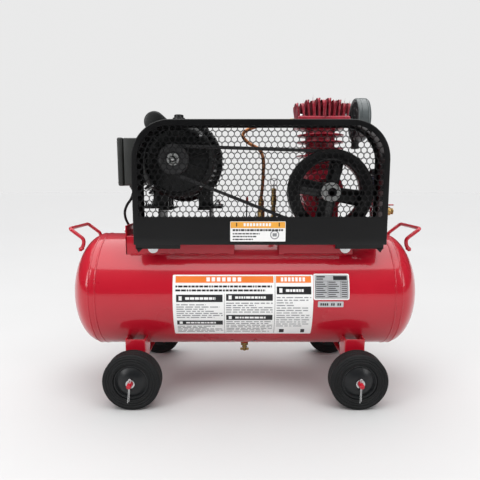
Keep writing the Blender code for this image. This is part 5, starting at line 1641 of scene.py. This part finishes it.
def build_tank_labels(tank):
    """The large panel, the rating plate and the small tag, with blocks where words would stand."""
    keep("label_panel", panel_patch(tank, (0.0, 1.0, 0.0, 1.0), 1, 0.003), "paper")
    keep("label_headers", panel_patches(tank, ORANGE_BLOCKS, 2), "orange")
    letters = []
    for left, right in ((0.24, 0.5), (0.77, 0.95)):
        step = (right - left) / 7
        letters += [(left + step * index, left + step * (index + 0.66), 0.04, 0.1) for index in range(7)]
    keep("label_header_blocks", panel_patches(tank, letters, 3), "paper")
    blocks = list(BLACK_BLOCKS)
    blocks += words(0.02, 0.705, 0.16, 0.188, 1) + words(0.02, 0.66, 0.218, 0.246, 2)
    blocks += [(0.7265, 0.729, 0.02, 0.98), (0.366, 0.368, 0.28, 0.98)]
    keep("label_dark_blocks", panel_patches(tank, blocks, 2), "print_black")
    chance = random.Random(5)
    lines = []
    for left, right, top, bottom, count in GREY_LINES:
        for index in range(count):
            start = top + (bottom - top) * index / count
            end = right - chance.choice((0.0, 0.0, 0.02, 0.06, 0.12))
            lines += words(left, end, start, start + 0.015, chance.random(), 0.035)
    keep("label_grey_blocks", panel_patches(tank, lines, 2), "print_grey")
    light = []
    for left, right, top, bottom in BLACK_BLOCKS[:5]:
        tall = bottom - top
        light += words(left + 0.065, right - 0.05, top + tall * 0.34, top + tall * 0.68, left + top, 0.018)
        light.append((left + 0.018, left + 0.04, top + tall * 0.22, top + tall * 0.78))
    keep("label_light_blocks", panel_patches(tank, light, 3), "paper")
    keep("rating_plate_border", wrap_patch(tank, 0.167, 0.254, 26.0, 1.5, 1, 0.004), "paper")
    keep("rating_plate_field", wrap_patch(tank, 0.1695, 0.2515, 25.0, 2.5, 2, 0.003), "plate")
    bars = [wrap_patch(tank, 0.215, 0.2485, 23.8, 20.0, 3), wrap_patch(tank, 0.174, 0.195, 23.6, 22.4, 3),
            wrap_patch(tank, 0.174, 0.19, 21.4, 20.4, 3)]
    for index in range(8):
        top = 18.6 - 1.9 * index
        for start in (0.173, 0.203):
            end = start + 0.0255 - 0.004 * ((index * 2 + int(start * 100)) % 3)
            bars.append(wrap_patch(tank, start, end, top - 0.25, top - 0.95, 3))
        bars.append(wrap_patch(tank, 0.235, 0.248, top - 0.25, top - 0.95, 3))
    for x in (0.1712, 0.2012, 0.2325, 0.2495):
        bars.append(wrap_patch(tank, x, x + 0.0006, 19.2, 3.4, 3))
    for top in (19.2, 3.6):
        bars.append(wrap_patch(tank, 0.1712, 0.2501, top, top - 0.2, 3))
    keep("rating_plate_bars", bars, "print_black")
    keep("tank_tag", wrap_patch(tank, 0.1775, 0.24, 0.0, -5.5, 1, 0.002), "plate")
    step = 0.0052
    letters = [wrap_patch(tank, 0.1835 + step * index, 0.1835 + step * (index + 0.7), -1.6, -4.0, 2)
               for index in range(10) if index not in (4, 7)]
    keep("tank_tag_blocks", letters, "print_black")


def flat_patch(left, right, low, high, level, corner=0.0):
    """A thin sheet on the guard's front face."""
    form = bmesh.new()
    bmesh.ops.create_grid(form, x_segments=1, y_segments=1, size=0.5)
    bmesh.ops.scale(form, vec=(right - left, high - low, 1.0), verts=form.verts)
    if corner > 0.0:
        round_off(form, list(form.verts), corner, affect="VERTICES")
    front = low_corner("guard_frame").y - level * SKIN
    form.transform(at(((left + right) / 2, front, (low + high) / 2), "-Y"))
    return form


def build_guard_label():
    left, right, low, high = -0.036, 0.096, 0.4066, 0.4547
    keep("guard_label_ground", flat_patch(left, right, low, high, 1, 0.002), "paper")
    split = high - (high - low) * 0.33
    keep("guard_label_header", flat_patch(left + 0.001, right - 0.001, split, high - 0.001, 2), "amber")
    chance = random.Random(9)
    bars = [flat_patch(left + 0.014, left + 0.0165, split + 0.004, high - 0.003, 3),
            flat_patch(right - 0.0165, right - 0.014, split + 0.004, high - 0.003, 3)]
    rows = [(left + 0.006, right - 0.006, split - 0.0072, split - 0.0025)]
    rows += [(left + 0.006, left + 0.07 - 0.008 * index, split - 0.015 - 0.0068 * index,
              split - 0.012 - 0.0068 * index) for index in range(3)]
    for start, end, bottom, top in rows:
        while start < end:
            stop = min(end, start + chance.uniform(0.003, 0.009))
            bars.append(flat_patch(start, stop, bottom, top, 2))
            start = stop + 0.0016
    keep("guard_label_bars", bars, "print_black")
    step = 0.0075
    letters = [flat_patch(left + 0.032 + step * index, left + 0.032 + step * (index + 0.66), split + 0.0045,
                          high - 0.004, 3) for index in range(9)]
    keep("guard_label_blocks", letters, "paper")
    ring = bmesh.new()
    bmesh.ops.create_circle(ring, segments=40, radius=0.0108)
    outer = list(ring.edges)
    inner = bmesh.ops.create_circle(ring, segments=40, radius=0.0084)
    rims = [edge for vert in inner["verts"] for edge in vert.link_edges]
    bmesh.ops.bridge_loops(ring, edges=list(set(outer + rims)))
    ring.transform(at((right - 0.026, low_corner("guard_frame").y - 2 * SKIN, (low + split) / 2), "-Y"))
    icon = flat_patch(right - 0.031, right - 0.021, (low + split) / 2 - 0.004, (low + split) / 2 + 0.004, 2)
    keep("guard_label_icon", join(ring, icon), "print_grey")


def finish_internals():
    """Better finishes for the CAD nodes that stay as they are."""
    for finish, names in (("iron", ("stator_core",)), ("plastic", ("motor_fan",)),
                          ("machined", ("motor_rotor", "crankshaft", "crank_bearing")),
                          ("alloy", ("connecting_rod", "piston"))):
        for name in names:
            refinish(name, finish)


# ---- operators

class MakeStage(bpy.types.Operator):
    """Add the camera, the floor and the studio lights"""
    bl_idname = "compressor.make_stage"
    bl_label = "Camera, floor and lights"

    def execute(self, context):
        build_stage(context.scene.compressor_stage)
        return {"FINISHED"}


class MakeFinishes(bpy.types.Operator):
    """Make every finish from the colours in the panel"""
    bl_idname = "compressor.make_finishes"
    bl_label = "Finishes"

    def execute(self, context):
        make_finishes(context.scene.compressor_colours)
        return {"FINISHED"}


class MakeLead(bpy.types.Operator):
    """Add the lead between the motor and the pressure switch"""
    bl_idname = "compressor.make_lead"
    bl_label = "Switch lead"

    def execute(self, context):
        build_lead()
        return {"FINISHED"}


class MakeTank(bpy.types.Operator):
    """Add the tank's shell, ends, welds, bungs, handles and legs"""
    bl_idname = "compressor.make_tank"
    bl_label = "Tank, handles and legs"

    def execute(self, context):
        tank = context.scene.compressor_tank
        build_tank(tank)
        build_handles(tank)
        build_legs(tank)
        return {"FINISHED"}


class MakeWheels(bpy.types.Operator):
    """Add the tyres, hubs, axles and split pins"""
    bl_idname = "compressor.make_wheels"
    bl_label = "Wheels and axles"

    def execute(self, context):
        build_wheels(context.scene.compressor_wheels)
        return {"FINISHED"}


class MakeBases(bpy.types.Operator):
    """Add the folded base plates under the motor and the pump"""
    bl_idname = "compressor.make_bases"
    bl_label = "Base plates"

    def execute(self, context):
        build_bases(context.scene.compressor_tank)
        return {"FINISHED"}


class MakeMotor(bpy.types.Operator):
    """Add the motor's body, covers, cowl, boxes, rails and pulley"""
    bl_idname = "compressor.make_motor"
    bl_label = "Motor"

    def execute(self, context):
        build_motor(context.scene.compressor_motor)
        return {"FINISHED"}


class MakePump(bpy.types.Operator):
    """Add the pump's crankcase, cylinder, head and intake filter"""
    bl_idname = "compressor.make_pump"
    bl_label = "Pump"

    def execute(self, context):
        pump = context.scene.compressor_pump
        build_crankcase(pump)
        build_cylinder(pump)
        build_filter()
        return {"FINISHED"}


class MakeDrive(bpy.types.Operator):
    """Add the flywheel and the V-belt"""
    bl_idname = "compressor.make_drive"
    bl_label = "Flywheel and belt"

    def execute(self, context):
        pump = context.scene.compressor_pump
        build_flywheel(pump)
        build_belt(pump)
        return {"FINISHED"}


class MakeGuard(bpy.types.Operator):
    """Add the belt guard's shell and its perforated sheet"""
    bl_idname = "compressor.make_guard"
    bl_label = "Belt guard"

    def execute(self, context):
        guard = context.scene.compressor_guard
        build_guard(guard)
        build_guard_sheet(guard)
        return {"FINISHED"}


class MakeFittings(bpy.types.Operator):
    """Add the pipe, the valves, the pressure switch, the outlet and the drain"""
    bl_idname = "compressor.make_fittings"
    bl_label = "Air fittings"

    def execute(self, context):
        tank = context.scene.compressor_tank
        build_discharge(tank)
        build_safety_valve(tank)
        build_pressure_switch()
        build_outlet(tank)
        build_drain()
        return {"FINISHED"}


class MakeLabels(bpy.types.Operator):
    """Add the labels on the tank and on the guard"""
    bl_idname = "compressor.make_labels"
    bl_label = "Labels"

    def execute(self, context):
        build_tank_labels(context.scene.compressor_tank)
        build_guard_label()
        return {"FINISHED"}


class FinishInternals(bpy.types.Operator):
    """Give the motor's and the pump's inner parts their finishes"""
    bl_idname = "compressor.finish_internals"
    bl_label = "Inner parts"

    def execute(self, context):
        finish_internals()
        return {"FINISHED"}


STEPS = (MakeStage, MakeFinishes, MakeLead, MakeTank, MakeWheels, MakeBases, MakeMotor, MakePump, MakeDrive,
         MakeGuard, MakeFittings, MakeLabels, FinishInternals)
SETTINGS = {
    "compressor_stage": StageSettings,
    "compressor_colours": FinishColours,
    "compressor_tank": TankSizes,
    "compressor_wheels": WheelSizes,
    "compressor_motor": MotorSizes,
    "compressor_pump": PumpSizes,
    "compressor_guard": GuardSizes,
}


class CompressorPanel(bpy.types.Panel):
    """Settings and build steps of the air compressor"""
    bl_idname = "VIEW3D_PT_compressor"
    bl_label = "Air compressor"
    bl_space_type = "VIEW_3D"
    bl_region_type = "UI"
    bl_category = "Compressor"

    def draw(self, context):
        layout = self.layout
        for name, group in SETTINGS.items():
            column = layout.column(align=True)
            column.label(text=group.__doc__)
            settings = getattr(context.scene, name)
            for field in group.__annotations__:
                column.prop(settings, field)
        for step in STEPS:
            layout.operator(step.bl_idname)


def register():
    for group in SETTINGS.values():
        bpy.utils.register_class(group)
    for name, group in SETTINGS.items():
        setattr(bpy.types.Scene, name, PointerProperty(type=group))
    for step in STEPS:
        bpy.utils.register_class(step)
    bpy.utils.register_class(CompressorPanel)


def unregister():
    bpy.utils.unregister_class(CompressorPanel)
    for step in reversed(STEPS):
        bpy.utils.unregister_class(step)
    for name in SETTINGS:
        delattr(bpy.types.Scene, name)
    for group in reversed(SETTINGS.values()):
        bpy.utils.unregister_class(group)


def main():
    register()
    bpy.context.scene.collection.children.link(bpy.data.collections.new(COLLECTION))
    for step in STEPS:
        area, action = step.bl_idname.split(".")
        getattr(getattr(bpy.ops, area), action)()


if __name__ == "__main__":
    main()
